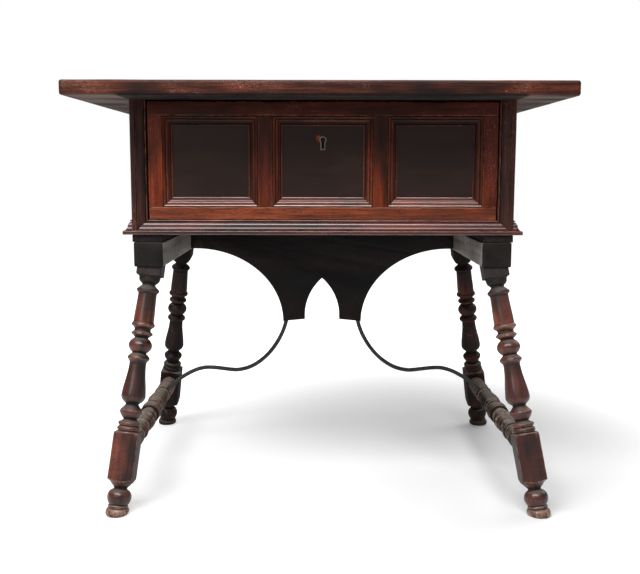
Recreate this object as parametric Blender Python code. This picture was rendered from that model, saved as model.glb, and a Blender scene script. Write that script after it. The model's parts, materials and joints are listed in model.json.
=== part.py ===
"""Platform table: plank top, one deep panelled drawer, splayed turned legs and iron stays.

Metres, +Z up, the floor at z = 0, the drawer front facing -Y, origin under the middle of the top.
"""

import math

import bmesh
import bpy
from mathutils import Matrix, Vector

# Overall sizes
HEIGHT = 0.800
TOP_LENGTH = 0.916
TOP_DEPTH = 0.641
TOP_THICK = 0.027
TOP_ARRIS = 0.004
PLANKS = 3
TONGUE = 0.008
GAP = 0.0003

# Case
CASE_WIDTH = 0.7212
CASE_REAR = 0.2264
CASE_FRONT = -0.2144
CASE_HEIGHT = 0.252
SIDE_THICK = 0.029
BACK_THICK = 0.016
CASE_SHIFT = 0.006
DUST_BOARD_THICK = 0.008
DUST_BOARD_FRONT = -0.030
DUST_BOARD_REBATE = 0.010
RAIL_THICK = 0.022
HOUSING = 0.008
DOVETAIL_SLOPE = 1 / 7
PEG_RADIUS = 0.005
PEG_LENGTH = 0.062
PEG_STATIONS = (-0.165, 0.0, 0.165)

# Architrave and base moulding, drawn from the drawer's edge outwards
BEAD_WIDTH = 0.0032
QUIRK_WIDTH = 0.0012
OGEE_WIDTH = 0.0142
SINK_WIDTH = 0.0014
MOULD_LOW = 0.0036
MOULD_HIGH = 0.0128
BAND_HEIGHT = 0.0080
BAND_PROUD = 0.0170

# Drawer front
DRAWER_GAP = 0.0028
DRAWER_TOP_GAP = 0.003
FRONT_RAIL = 0.028
FRAME_THICK = 0.022
FRAME_PROUD = 0.003
TOP_RAIL = 0.0265
BOTTOM_RAIL = 0.0242
STILE = 0.0265
MUNTIN = 0.0270
MIDDLE_PANEL = 0.1900
PANEL_SET = 0.0095
PANEL_THICK = 0.006
PANEL_GROOVE = 0.006
TENON_LENGTH = 0.014
TENON_SHOULDER = 0.0068
PANEL_MOULD_WIDTH = 0.0185

# Drawer box
DRAWER_REAR = 0.185
BOX_SIDE = 0.014
BOX_BACK = 0.012
BOX_TOP_DROP = 0.0045
BOX_BACK_DROP = 0.014
BOX_BOTTOM = 0.008
BOX_BOTTOM_LIFT = 0.0065
BOX_GROOVE = 0.005
RUNNER_WIDTH = 0.022
STOP_HEIGHT = 0.012

# Lock
KEYHOLE_DOWN = 0.0442
KEYHOLE_BOW = 0.0046
KEYHOLE_SLOT = 0.0050
KEYHOLE_DROP = 0.0165
LINER_WALL = 0.0022
LINER_PROUD = 0.0006
LOCK_WIDTH = 0.086
LOCK_HEIGHT = 0.092
LOCK_DEPTH = 0.016
LOCK_WALL = 0.002
BOLT_WIDTH = 0.036
BOLT_THICK = 0.006
BOLT_HEAD = 0.028
BOLT_TAIL = 0.026
BOLT_TRAVEL = 0.010
KEY_PIN_RADIUS = 0.0019
STRIKE_LENGTH = 0.060
STRIKE_WIDTH = 0.020
STRIKE_THICK = 0.002

# Stand
BEARER_WIDTH = 0.0561
BEARER_HEIGHT = 0.047
BEARER_ARRIS = 0.002
BEARER_INSET = 0.002
CAP_THICK = 0.014
CAP_INSET = 0.002
LEG_SIZE = 0.047
LEG_TOP_INSET = 0.0287
SPLAY_X = 0.0669
SPLAY_Y = 0.1066
FRONT_SETTLE = 0.011
REAR_SETTLE = 0.003
LEG_TENON_RADIUS = 0.013
LEG_TENON = 0.034
STRETCHER_SHARE = 0.2522
STRETCHER_TENON_RADIUS = 0.009
STRETCHER_TENON = 0.028
BOARD_Y = 0.150
BOARD_THICK = 0.020
BOARD_TENON = 0.012
BOARD_DROP = 0.167
ARCH_LIFT = 0.0026
ARCH_SHOULDER = 0.0115
TIP_OUTER_X = 0.0905
TIP_INNER_X = 0.0400
TIP_STEP = 0.0050
LANCET_LIFT = 0.0080
LANCET_RISE = 0.0884
STAY_RADIUS = 0.0046
STAY_SEAT = 0.024
STAY_LEAN = 0.23
STAY_X = 0.0836
STAY_END_INSET = 0.0085

LEG_SEGMENTS = 16
BAR_SEGMENTS = 12

# Levels and planes that follow from the sizes
UNDER_TOP = HEIGHT - TOP_THICK
CASE_TOP = UNDER_TOP - GAP
SIDE_OUT = CASE_WIDTH / 2
SIDE_IN = SIDE_OUT - SIDE_THICK
CASE_FLOOR = UNDER_TOP - CASE_HEIGHT
BEARER_TOP = CASE_FLOOR - CAP_THICK
BEARER_BOTTOM = BEARER_TOP - BEARER_HEIGHT
MOULD_HEIGHT = BEAD_WIDTH + QUIRK_WIDTH + OGEE_WIDTH + SINK_WIDTH
MOULD_TOP = CASE_FLOOR + MOULD_HEIGHT + BAND_HEIGHT
BAND_TOP = CASE_FLOOR + BAND_HEIGHT
DRAWER_BOTTOM = CASE_FLOOR + FRONT_RAIL
DRAWER_TOP = UNDER_TOP - DRAWER_TOP_GAP
DRAWER_HALF = SIDE_IN - DRAWER_GAP
FACE = CASE_FRONT - FRAME_PROUD
FRAME_REAR = FACE + FRAME_THICK
PANEL_FACE = FACE + PANEL_SET
OPEN_BOTTOM = DRAWER_BOTTOM + BOTTOM_RAIL
OPEN_TOP = DRAWER_TOP - TOP_RAIL
KEYHOLE_Z = OPEN_TOP - KEYHOLE_DOWN
RUNNER_TOP = DRAWER_BOTTOM - GAP
BOX_IN = DRAWER_HALF - BOX_SIDE
LOCK_FRONT = FRAME_REAR + GAP
LOCK_TOP = DRAWER_TOP - 0.0015
BOLT_Y = LOCK_FRONT + LOCK_DEPTH / 2
BOLT_TOP = LOCK_TOP - GAP
LEG_TOP_X = SIDE_OUT - BEARER_INSET - BEARER_WIDTH / 2
LEG_TOP_Y = CASE_REAR - LEG_TOP_INSET
FOOT_X = LEG_TOP_X + SPLAY_X
FOOT_Y = LEG_TOP_Y + SPLAY_Y
LEG_AXIS = math.hypot(SPLAY_X, SPLAY_Y, BEARER_BOTTOM)
STRETCHER_Z = BEARER_BOTTOM * STRETCHER_SHARE
BEARER_IN = LEG_TOP_X - BEARER_WIDTH / 2
CAP_IN = BEARER_IN + CAP_INSET
DUST_BOARD_HALF = CAP_IN + DUST_BOARD_REBATE
DUST_BOARD_TOP = BEARER_TOP + GAP + DUST_BOARD_THICK
TIP_OUTER_Z = BEARER_BOTTOM - BOARD_DROP
TIP_INNER_Z = TIP_OUTER_Z + TIP_STEP
ARCH_SPRING = BEARER_BOTTOM + ARCH_LIFT
ARCH_REACH = BEARER_IN - ARCH_SHOULDER
LANCET_SPRING = TIP_INNER_Z + LANCET_LIFT
LANCET_APEX = LANCET_SPRING + LANCET_RISE

# Colours as sRGB hex, then roughness and metallic
LOOKS = {
    "top_wood": ("5a352a", 0.45, 0.0),
    "case_wood": ("3f2b27", 0.45, 0.0),
    "frame_wood": ("6e3420", 0.40, 0.0),
    "panel_wood": ("2f2624", 0.38, 0.0),
    "moulding_wood": ("4b302a", 0.36, 0.0),
    "stand_wood": ("2b211e", 0.50, 0.0),
    "leg_wood": ("5c3127", 0.38, 0.0),
    "inner_wood": ("7d6147", 0.75, 0.0),
    "iron": ("37322f", 0.55, 0.9),
}


def linear(hex_colour):
    """An sRGB hex colour as linear red, green, blue and alpha."""
    channels = [int(hex_colour[i : i + 2], 16) / 255 for i in (0, 2, 4)]
    return [c / 12.92 if c <= 0.04045 else ((c + 0.055) / 1.055) ** 2.4 for c in channels] + [1]


def make_materials():
    made = {}
    for name, (colour, roughness, metallic) in LOOKS.items():
        material = bpy.data.materials.new(name)
        material.use_nodes = True
        shader = material.node_tree.nodes["Principled BSDF"]
        shader.inputs["Base Color"].default_value = linear(colour)
        shader.inputs["Roughness"].default_value = roughness
        shader.inputs["Metallic"].default_value = metallic
        made[name] = material
    return made


def put(name, bm, look, origin=None, matrix=None):
    """A named object from a bmesh in world space, with its origin at its middle unless one is given.

    With a matrix, the bmesh is in that matrix's own space.
    """
    bmesh.ops.recalc_face_normals(bm, faces=bm.faces)
    if matrix is None:
        corners = [v.co for v in bm.verts]
        low = Vector(min(c[i] for c in corners) for i in range(3))
        high = Vector(max(c[i] for c in corners) for i in range(3))
        matrix = Matrix.Translation(Vector(origin) if origin else (low + high) / 2)
        bm.transform(matrix.inverted())
    mesh = bpy.data.meshes.new(name)
    bm.to_mesh(mesh)
    bm.free()
    obj = bpy.data.objects.new(name, mesh)
    obj.matrix_world = matrix
    bpy.context.scene.collection.objects.link(obj)
    if look:
        mesh.materials.append(MATERIALS[look])
    return obj


def combine(obj, tools, operation="DIFFERENCE"):
    """Cuts the tool bodies from the object, or joins them to it, and drops the tools."""
    for bm in tools:
        tool = put("tool", bm, None)
        modifier = obj.modifiers.new("joint", "BOOLEAN")
        modifier.operation = operation
        modifier.solver = "EXACT"
        modifier.object = tool
        bpy.context.view_layer.update()
        graph = bpy.context.evaluated_depsgraph_get()
        mesh = bpy.data.meshes.new_from_object(obj.evaluated_get(graph))
        obj.modifiers.clear()
        obj.data = mesh
        bpy.data.objects.remove(tool)
    obj.data.name = obj.name
    return obj


def smooth(obj, degrees=32):
    obj.data.shade_smooth()
    obj.data.set_sharp_from_angle(angle=math.radians(degrees))
    return obj


def loft(rings, loop=False):
    """A closed skin over rings of points; loop joins the last ring to the first instead of capping."""
    bm = bmesh.new()
    rows = [[bm.verts.new(p) for p in ring] for ring in rings]
    pairs = list(zip(rows, rows[1:]))
    if loop:
        pairs.append((rows[-1], rows[0]))
    else:
        bm.faces.new(rows[0])
        bm.faces.new(rows[-1])
    for a, b in pairs:
        for i in range(len(a)):
            j = (i + 1) % len(a)
            bm.faces.new((a[i], a[j], b[j], b[i]))
    return bm


def prism(outline, axis, low, high):
    """An outline in the plane square to an axis, drawn out along it from low to high."""

    def place(p, along):
        point = list(p)
        point.insert("xyz".index(axis), along)
        return point

    return loft([[place(p, low) for p in outline], [place(p, high) for p in outline]])


def box(x, y, z, arris=0.0, segments=1):
    bm = prism([(y[0], z[0]), (y[1], z[0]), (y[1], z[1]), (y[0], z[1])], "x", *x)
    if arris:
        bmesh.ops.bevel(
            bm, geom=list(bm.edges), offset=arris, segments=segments, profile=0.5, affect="EDGES"
        )
    return bm


def grown(span, by):
    return (span[0] - by, span[1] + by)


def rod(start, end, radius, segments=BAR_SEGMENTS):
    """A straight round bar between two points."""
    start = Vector(start)
    along = Vector(end) - start
    turn = along.to_track_quat("Z", "Y")
    ring = [
        turn @ Vector((radius * math.cos(t), radius * math.sin(t), 0))
        for t in (2 * math.pi * i / segments for i in range(segments))
    ]
    return loft([[start + p for p in ring], [start + along + p for p in ring]])


def bore(start, end, radius, segments=BAR_SEGMENTS):
    """A round hole for a bar of the given radius: its flats clear the bar."""
    return rod(start, end, (radius + GAP) / math.cos(math.pi / segments), segments)


# Top
def make_top():
    half = TOP_LENGTH / 2
    ends = (-half - CASE_SHIFT, half - CASE_SHIFT)
    width = TOP_DEPTH / PLANKS
    names = ("top_plank_front", "top_plank_middle", "top_plank_rear")
    tongue_z = (UNDER_TOP + TOP_THICK / 3, UNDER_TOP + TOP_THICK * 2 / 3)
    planks = []
    for i, name in enumerate(names):
        y0 = -TOP_DEPTH / 2 + i * width
        y1 = y0 + width
        bm = box(ends, (-TOP_DEPTH / 2, TOP_DEPTH / 2), (UNDER_TOP, HEIGHT), TOP_ARRIS, 3)
        for side, y in ((-1, y0), (1, y1)):
            if abs(y) < TOP_DEPTH / 2 - TOP_ARRIS:
                cut = bmesh.ops.bisect_plane(
                    bm,
                    geom=bm.verts[:] + bm.edges[:] + bm.faces[:],
                    plane_co=(0, y - side * GAP / 2, 0),
                    plane_no=(0, side, 0),
                    clear_outer=True,
                )
                edges = [e for e in cut["geom_cut"] if isinstance(e, bmesh.types.BMEdge)]
                bmesh.ops.edgenet_fill(bm, edges=edges)
        plank = put(name, bm, "top_wood")
        planks.append((plank, y0, y1))
    middle, m0, m1 = planks[1]
    for y, reach in ((m0, -1), (m1, 1)):
        span = sorted((y - reach * TONGUE, y + reach * (TONGUE - GAP)))
        combine(middle, [box(grown(ends, -GAP), span, grown(tongue_z, -GAP))], "UNION")
    for (plank, p0, p1), y in ((planks[0], m0), (planks[2], m1)):
        groove = grown((y, y), TONGUE)
        combine(plank, [box(grown(ends, TONGUE), groove, tongue_z)])
    for sign, side in ((-1, "left"), (1, "right")):
        x = sign * (SIDE_IN + SIDE_OUT) / 2
        for (plank, p0, p1), station, place in zip(planks, PEG_STATIONS, ("front", "middle", "rear")):
            foot = (x, station, HEIGHT - PEG_LENGTH)
            peg = rod(foot, (x, station, HEIGHT - GAP), PEG_RADIUS)
            smooth(put(f"top_peg_{place}_{side}", peg, "top_wood"))
            combine(plank, [bore(foot, (x, station, HEIGHT + GAP * 9), PEG_RADIUS)])
    seat = (UNDER_TOP - STRIKE_THICK, UNDER_TOP + STRIKE_THICK)
    across = (-STRIKE_LENGTH / 2, STRIKE_LENGTH / 2)
    deep = (BOLT_Y - STRIKE_WIDTH / 2, BOLT_Y + STRIKE_WIDTH / 2)
    slot_x = grown((-BOLT_WIDTH / 2, BOLT_WIDTH / 2), 0.002)
    slot_y = grown((BOLT_Y - BOLT_THICK / 2, BOLT_Y + BOLT_THICK / 2), 0.001)
    slot = box(slot_x, slot_y, (UNDER_TOP - 0.01, UNDER_TOP + 0.013))
    combine(planks[0][0], [box(grown(across, GAP), grown(deep, GAP), seat), slot])
    plate = put("strike_plate", box(across, deep, (UNDER_TOP, seat[1] - GAP)), "iron")
    combine(plate, [box(slot_x, slot_y, (UNDER_TOP - 0.01, UNDER_TOP + 0.01))])


# Dovetailed corners
def pin_edges(low, high, count, thick):
    """Middle heights of the pins, with their half widths at the root and at the tip."""
    pitch = (high - low) / count
    tip = thick * 0.35
    return [low + i * pitch for i in range(count + 1)], tip + thick * DOVETAIL_SLOPE, tip


def dovetail_sockets(low, high, count, root, tip_y, x):
    """Cutters for a side board: one for each pin of the board that meets it."""
    thick = tip_y - root
    middles, wide, narrow = pin_edges(low, high, count, thick)
    past = thick * 0.2
    end = narrow - past * DOVETAIL_SLOPE
    cutters = []
    for z in middles:
        bottom_wide = max(z - wide, low) - GAP
        bottom_end = max(z - end, low) - GAP
        top_wide = min(z + wide, high) + GAP
        top_end = min(z + end, high) + GAP
        outline = [
            (root, bottom_wide),
            (tip_y + past, bottom_end),
            (tip_y + past, top_end),
            (root, top_wide),
        ]
        cutters.append(prism(outline, "x", *grown(x, 0.01)))
    return cutters


def dovetail_tails(low, high, count, root, tip_y, x_in):
    """Cutters for the board with the pins: one for each tail, at both ends of the board."""
    thick = tip_y - root
    middles, wide, narrow = pin_edges(low, high, count, thick)
    past = thick * 0.2
    start = wide + past * DOVETAIL_SLOPE
    end = narrow - past * DOVETAIL_SLOPE
    cutters = []
    for a, b in zip(middles, middles[1:]):
        outline = [
            (root - past, a + start),
            (tip_y + past, a + end),
            (tip_y + past, b - end),
            (root - past, b - start),
        ]
        for sign in (-1, 1):
            ends = sorted((sign * (x_in - GAP), sign * (x_in + SIDE_THICK * 2)))
            cutters.append(prism(outline, "x", *ends))
    return cutters


# Mouldings
def arc(start, end, rise, steps):
    """Points from start to end over a half round that rises above the line between them."""
    points = []
    for i in range(steps + 1):
        t = i / steps
        lift = rise * math.sin(math.pi * t)
        points.append((start[0] + (end[0] - start[0]) * t, start[1] + (end[1] - start[1]) * t + lift))
    return points


def ogee(start, end, bend, steps):
    """Points from start to end along a double curve, hollow at one end and round at the other."""
    points = []
    for i in range(steps + 1):
        t = i / steps
        swing = bend * math.sin(2 * math.pi * t)
        points.append((start[0] + (end[0] - start[0]) * t, start[1] + (end[1] - start[1]) * t + swing))
    return points


def architrave_profile():
    """Width from the drawer's edge against height above the case front, as far as the outer band."""
    quirk = BEAD_WIDTH + QUIRK_WIDTH
    crest = quirk + OGEE_WIDTH
    points = arc((0.0, MOULD_LOW), (BEAD_WIDTH, MOULD_LOW), 0.0018, 4)
    points += [(quirk, MOULD_LOW)]
    points += ogee((quirk, MOULD_LOW + 0.0014), (crest, MOULD_HIGH), 0.0011, 7)
    points += [(crest, MOULD_HIGH - 0.0014), (MOULD_HEIGHT, MOULD_HIGH - 0.0014)]
    return points


def panel_mould_profile():
    """Width in from the frame against height above the panel."""
    rise = PANEL_SET
    points = [(0.0, rise - 0.0020), (0.0014, rise - 0.0020), (0.0016, rise + 0.0006)]
    points += arc((0.0024, rise + 0.0010), (0.0056, rise - 0.0018), 0.0005, 3)
    points += [(0.0060, rise - 0.0026)]
    points += ogee((0.0070, rise - 0.0030), (0.0135, 0.0038), 0.0006, 5)
    points += [(0.0137, 0.0022), (PANEL_MOULD_WIDTH - 0.0022, 0.0022)]
    points += [(PANEL_MOULD_WIDTH - 0.0020, 0.0030), (PANEL_MOULD_WIDTH, 0.0022)]
    return points


# Case
def make_case():
    wall = (CASE_FLOOR + GAP, CASE_TOP)
    count = 4
    root = CASE_REAR - BACK_THICK
    rail_z = (CASE_FLOOR + GAP, RUNNER_TOP - GAP)
    rail_y = (CASE_FRONT, CASE_FRONT + RAIL_THICK)
    for sign, side in ((-1, "left"), (1, "right")):
        x = sorted((sign * SIDE_IN, sign * SIDE_OUT))
        board = put(f"case_side_{side}", box(x, (CASE_FRONT, CASE_REAR), wall), "case_wood")
        combine(board, dovetail_sockets(*wall, count, root, CASE_REAR, x))
        housing = sorted((sign * (SIDE_IN - 0.01), sign * (SIDE_IN + HOUSING + GAP)))
        notch_z = (CASE_FLOOR - GAP, rail_z[1] + GAP)
        notch_y = (CASE_FRONT - GAP * 9, rail_y[1] + GAP)
        combine(board, [box(housing, notch_y, notch_z)])
        middle = sign * (SIDE_IN + SIDE_OUT) / 2
        foot = HEIGHT - PEG_LENGTH - GAP
        combine(
            board,
            [bore((middle, y, foot), (middle, y, HEIGHT), PEG_RADIUS) for y in PEG_STATIONS],
        )
        runner_x = sorted((sign * (SIDE_IN - GAP), sign * (SIDE_IN - RUNNER_WIDTH)))
        runner_y = (rail_y[1] + GAP, root - GAP)
        put(
            f"drawer_runner_{side}",
            box(runner_x, runner_y, (CASE_FLOOR + GAP, RUNNER_TOP)),
            "inner_wood",
        )
        stop_y = (DRAWER_REAR + GAP, root - GAP)
        stop_z = (RUNNER_TOP + GAP, RUNNER_TOP + STOP_HEIGHT)
        put(f"drawer_stop_{side}", box(runner_x, stop_y, stop_z), "inner_wood")

        profile = architrave_profile()
        inner = profile + [(MOULD_HEIGHT, MOULD_HIGH), (SIDE_THICK, MOULD_HIGH)]
        outline = [(sign * (SIDE_IN + d), CASE_FRONT - GAP - h) for d, h in inner]
        outline += [(sign * SIDE_OUT, CASE_FRONT - GAP), (sign * SIDE_IN, CASE_FRONT - GAP)]
        strip = put(
            f"architrave_{side}",
            prism(outline, "z", BAND_TOP + GAP, CASE_TOP),
            "case_wood",
        )
        wedge = [
            (sign * (SIDE_IN - 0.005), MOULD_TOP + 0.005),
            (sign * (SIDE_IN + MOULD_HEIGHT), BAND_TOP),
            (sign * (SIDE_IN + MOULD_HEIGHT), BAND_TOP - 0.005),
            (sign * (SIDE_IN - 0.005), BAND_TOP - 0.005),
        ]
        combine(strip, [prism(wedge, "y", CASE_FRONT - BAND_PROUD * 2, CASE_FRONT + 0.01)])
        smooth(strip)

    tails = dovetail_tails(*wall, count, root, CASE_REAR, SIDE_IN)
    back = put(
        "case_back",
        box((-SIDE_OUT, SIDE_OUT), (root + GAP, CASE_REAR), grown(wall, -GAP)),
        "case_wood",
    )
    combine(back, tails)

    half = SIDE_IN + HOUSING
    put("case_front_rail", box((-half, half), rail_y, rail_z), "case_wood")
    floor_x = (-DUST_BOARD_HALF, DUST_BOARD_HALF)
    floor_y = (DUST_BOARD_FRONT, CASE_REAR - GAP)
    put("case_bottom_board", box(floor_x, floor_y, (BEARER_TOP + GAP, DUST_BOARD_TOP)), "stand_wood")
    make_base_moulding()


def base_profile():
    """Height up from the case floor against projection: the architrave's lines over a square band."""
    points = [(MOULD_TOP - d, h) for d, h in architrave_profile()]
    band = 0.0010
    points += [(BAND_TOP, BAND_PROUD - band), (BAND_TOP - band, BAND_PROUD)]
    points += [(CASE_FLOOR + GAP + band, BAND_PROUD), (CASE_FLOOR + GAP, BAND_PROUD - band)]
    points += [(CASE_FLOOR + GAP, 0.0), (MOULD_TOP, 0.0)]
    return points


def make_base_moulding():
    profile = base_profile()
    front = []
    for sign in (-1, 1):
        ring = [(sign * (SIDE_OUT + h), CASE_FRONT - GAP - h, z) for z, h in profile]
        front.append(ring)
    strip = put("base_moulding_front", loft(front), "moulding_wood")
    notches = []
    for sign in (-1, 1):
        notch = [
            (sign * (SIDE_IN - 0.005 - 2 * GAP), MOULD_TOP + 0.005),
            (sign * (SIDE_IN + MOULD_HEIGHT - 2 * GAP), BAND_TOP),
            (sign * (SIDE_OUT + GAP), BAND_TOP),
            (sign * (SIDE_OUT + GAP), MOULD_TOP + 0.005),
        ]
        notches.append(prism(notch, "y", CASE_FRONT - BAND_PROUD * 2, CASE_FRONT + 0.01))
    smooth(combine(strip, notches))
    for sign, side in ((-1, "left"), (1, "right")):
        ends = [
            [(sign * (SIDE_OUT + GAP + h), CASE_FRONT + GAP - h, z) for z, h in profile],
            [(sign * (SIDE_OUT + GAP + h), CASE_REAR, z) for z, h in profile],
        ]
        smooth(put(f"base_moulding_{side}", loft(ends), "moulding_wood"))


# Drawer
def panel_spans():
    """Left and right edges of the three openings in the drawer front."""
    inner = DRAWER_HALF - STILE
    middle = MIDDLE_PANEL / 2
    return {
        "left": (-inner, -middle - MUNTIN),
        "middle": (-middle, middle),
        "right": (middle + MUNTIN, inner),
    }


def keyhole(bow, slot, drop):
    """Outline of a keyhole: a round bow over a straight slot."""
    angle = math.asin(slot / 2 / bow)
    steps = 12
    turn = 2 * math.pi - 2 * angle
    points = []
    for i in range(steps + 1):
        t = -math.pi / 2 + angle + turn * i / steps
        points.append((bow * math.cos(t), KEYHOLE_Z + bow * math.sin(t)))
    return points + [(-slot / 2, KEYHOLE_Z - drop), (slot / 2, KEYHOLE_Z - drop)]


def make_drawer_front():
    spans = panel_spans()
    panel_y = (PANEL_FACE, PANEL_FACE + PANEL_THICK)
    panel_z = (OPEN_BOTTOM - PANEL_GROOVE, OPEN_TOP + PANEL_GROOVE)
    frame_y = (FACE, FRAME_REAR)
    half = DRAWER_HALF

    def grooves():
        deep = grown(panel_y, GAP)
        tall = grown(panel_z, GAP)
        return [box(grown(span, PANEL_GROOVE + GAP), deep, tall) for span in spans.values()]

    def box_side_housings():
        housing = (FRAME_REAR - BOX_GROOVE - GAP, FRAME_REAR + 0.01)
        tall = (DRAWER_BOTTOM - 0.01, DRAWER_TOP - BOX_TOP_DROP + GAP)
        return [box(sorted((s * (BOX_IN - GAP), s * (half + 0.01))), housing, tall) for s in (-1, 1)]

    uprights = {
        "drawer_stile_left": (-half, spans["left"][0]),
        "drawer_muntin_left": (spans["left"][1], spans["middle"][0]),
        "drawer_muntin_right": (spans["middle"][1], spans["right"][0]),
        "drawer_stile_right": (spans["right"][1], half),
    }
    tenon_z = (OPEN_BOTTOM - TENON_LENGTH, OPEN_TOP + TENON_LENGTH)
    mortises = []
    made = []
    for name, x in uprights.items():
        upright = put(name, box(x, frame_y, grown((OPEN_BOTTOM, OPEN_TOP), -GAP)), "frame_wood")
        tenon = box(grown(x, -TENON_SHOULDER), panel_y, tenon_z)
        mortises.append((grown(x, GAP - TENON_SHOULDER), grown(panel_y, GAP), grown(tenon_z, GAP)))
        combine(upright, grooves())
        combine(upright, [tenon], "UNION")
        if "stile" in name:
            combine(upright, box_side_housings())
        made.append(upright)
    for name, z in (
        ("drawer_rail_top", (OPEN_TOP, DRAWER_TOP)),
        ("drawer_rail_bottom", (DRAWER_BOTTOM, OPEN_BOTTOM)),
    ):
        rail = put(name, box((-half, half), frame_y, z), "frame_wood")
        combine(rail, grooves() + [box(*sides) for sides in mortises] + box_side_housings())
        if "bottom" in name:
            combine(rail, [drawer_bottom(GAP)])
        made.append(rail)

    profile = panel_mould_profile()
    for side, x in spans.items():
        span = grown(x, PANEL_GROOVE)
        panel = put(f"drawer_panel_{side}", box(span, panel_y, panel_z), "panel_wood")
        if side == "middle":
            bow = KEYHOLE_BOW + LINER_WALL + GAP
            slot = KEYHOLE_SLOT + 2 * (LINER_WALL + GAP)
            hole = keyhole(bow, slot, KEYHOLE_DROP + LINER_WALL + GAP)
            combine(panel, [prism(hole, "y", FACE, FRAME_REAR)])
        made.append(panel)
        section = profile + [(PANEL_MOULD_WIDTH, 0.0), (0.0, 0.0)]
        rings = []
        for sx, sz in ((0, 0), (1, 0), (1, 1), (0, 1)):
            ring = []
            for w, h in section:
                inset = w + GAP
                px = x[1] - inset if sx else x[0] + inset
                pz = OPEN_TOP - inset if sz else OPEN_BOTTOM + inset
                ring.append((px, PANEL_FACE - GAP - h, pz))
            rings.append(ring)
        made.append(smooth(put(f"panel_moulding_{side}", loft(rings, loop=True), "moulding_wood"), 25))

    outer = keyhole(KEYHOLE_BOW + LINER_WALL, KEYHOLE_SLOT + 2 * LINER_WALL, KEYHOLE_DROP + LINER_WALL)
    inner = keyhole(KEYHOLE_BOW, KEYHOLE_SLOT, KEYHOLE_DROP)
    liner = put("keyhole_liner", prism(outer, "y", PANEL_FACE - LINER_PROUD, panel_y[1]), "iron")
    made.append(combine(liner, [prism(inner, "y", FACE, FRAME_REAR)]))
    return made


def drawer_bottom(extra):
    """The drawer's bottom board, which slides in its grooves; extra gives the size of the grooves."""
    reach = BOX_IN + BOX_GROOVE + extra - GAP
    z = DRAWER_BOTTOM + BOX_BOTTOM_LIFT
    y = (FRAME_REAR - BOX_GROOVE - extra + GAP, DRAWER_REAR + (0.01 if extra else 0.0))
    return box((-reach, reach), y, grown((z, z + BOX_BOTTOM), extra))


def make_drawer_box():
    made = []
    side_z = (DRAWER_BOTTOM, DRAWER_TOP - BOX_TOP_DROP)
    back_z = (DRAWER_BOTTOM + BOX_BOTTOM_LIFT + BOX_BOTTOM + GAP, DRAWER_TOP - BOX_BACK_DROP)
    root = DRAWER_REAR - BOX_BACK
    count = 3
    for sign, side in ((-1, "left"), (1, "right")):
        x = sorted((sign * BOX_IN, sign * DRAWER_HALF))
        board = put(
            f"drawer_side_{side}", box(x, (FRAME_REAR - BOX_GROOVE, DRAWER_REAR), side_z), "inner_wood"
        )
        combine(board, dovetail_sockets(*back_z, count, root, DRAWER_REAR, x))
        made.append(combine(board, [drawer_bottom(GAP)]))
    back = put(
        "drawer_back",
        box((-DRAWER_HALF, DRAWER_HALF), (root + GAP, DRAWER_REAR), grown(back_z, -GAP)),
        "inner_wood",
    )
    made.append(combine(back, dovetail_tails(*back_z, count, root, DRAWER_REAR, BOX_IN)))
    made.append(put("drawer_bottom", drawer_bottom(0.0), "inner_wood"))
    return made


def make_lock():
    half = LOCK_WIDTH / 2
    z = (LOCK_TOP - LOCK_HEIGHT, LOCK_TOP)
    y = (LOCK_FRONT, LOCK_FRONT + LOCK_DEPTH)
    case = put("lock_case", box((-half, half), y, z, 0.0008), "iron")
    hollow = box(grown((-half, half), -LOCK_WALL), (y[0] - 0.01, y[1] - LOCK_WALL), grown(z, -LOCK_WALL))
    bolt_x = (-BOLT_WIDTH / 2, BOLT_WIDTH / 2)
    bolt_y = (BOLT_Y - BOLT_THICK / 2, BOLT_Y + BOLT_THICK / 2)
    slot = box(grown(bolt_x, GAP), grown(bolt_y, GAP), (LOCK_TOP - 0.01, LOCK_TOP + 0.01))
    pin_end = (0, PANEL_FACE + PANEL_THICK / 3, KEYHOLE_Z)
    pin_root = (0, y[1], KEYHOLE_Z)
    pin_hole = bore((0, BOLT_Y, KEYHOLE_Z), (0, y[1] + 0.01, KEYHOLE_Z), KEY_PIN_RADIUS)
    combine(case, [hollow, slot, pin_hole])
    pin = smooth(put("lock_key_pin", rod(pin_end, pin_root, KEY_PIN_RADIUS), "iron"))

    tail = BOLT_WIDTH * 0.3
    notch = BOLT_TAIL * 0.45
    shoulder = BOLT_TOP - BOLT_HEAD
    end = shoulder - BOLT_TAIL
    outline = [
        (bolt_x[0], BOLT_TOP),
        (bolt_x[0], shoulder),
        (-tail, shoulder),
        (-tail, end),
        (-tail / 3, end),
        (-tail / 3, end + notch),
        (tail / 3, end + notch),
        (tail / 3, end),
        (tail, end),
        (tail, shoulder),
        (bolt_x[1], shoulder),
        (bolt_x[1], BOLT_TOP),
    ]
    bolt = put("lock_bolt", prism(outline, "y", *bolt_y), "iron", origin=(0, BOLT_Y, BOLT_TOP))

    leaf = 0.0012
    wall_x = half - LOCK_WALL - GAP
    low = z[0] + LOCK_WALL * 4
    steps = 8
    reach = wall_x - tail - leaf - GAP
    curve = []
    for i in range(steps + 1):
        t = i / steps
        curve.append((-wall_x + reach * t * t, low + (end + 0.008 - low) * t))
    spring = curve + [(px + leaf, pz) for px, pz in reversed(curve)]
    leaf_spring = put("lock_spring", prism(spring, "y", *bolt_y), "iron")
    return [case, pin, leaf_spring], bolt


# Stand
def bulge(length, start, end, widest, steps):
    """A turned bead or bulb: radius against length, swelling to its widest half way along."""
    points = []
    for i in range(1, steps):
        t = i / steps
        side = start + (end - start) * t
        points.append((length * t, side + (widest - side) * math.sqrt(math.sin(math.pi * t))))
    return points + [(length, end)]


def swell(length, start, end, steps, lead=1.0):
    """A turned taper that leaves and arrives softly."""
    points = []
    for i in range(1, steps + 1):
        t = (i / steps) ** lead
        points.append((length * i / steps, start + (end - start) * t * t * (3 - 2 * t)))
    return points


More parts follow.
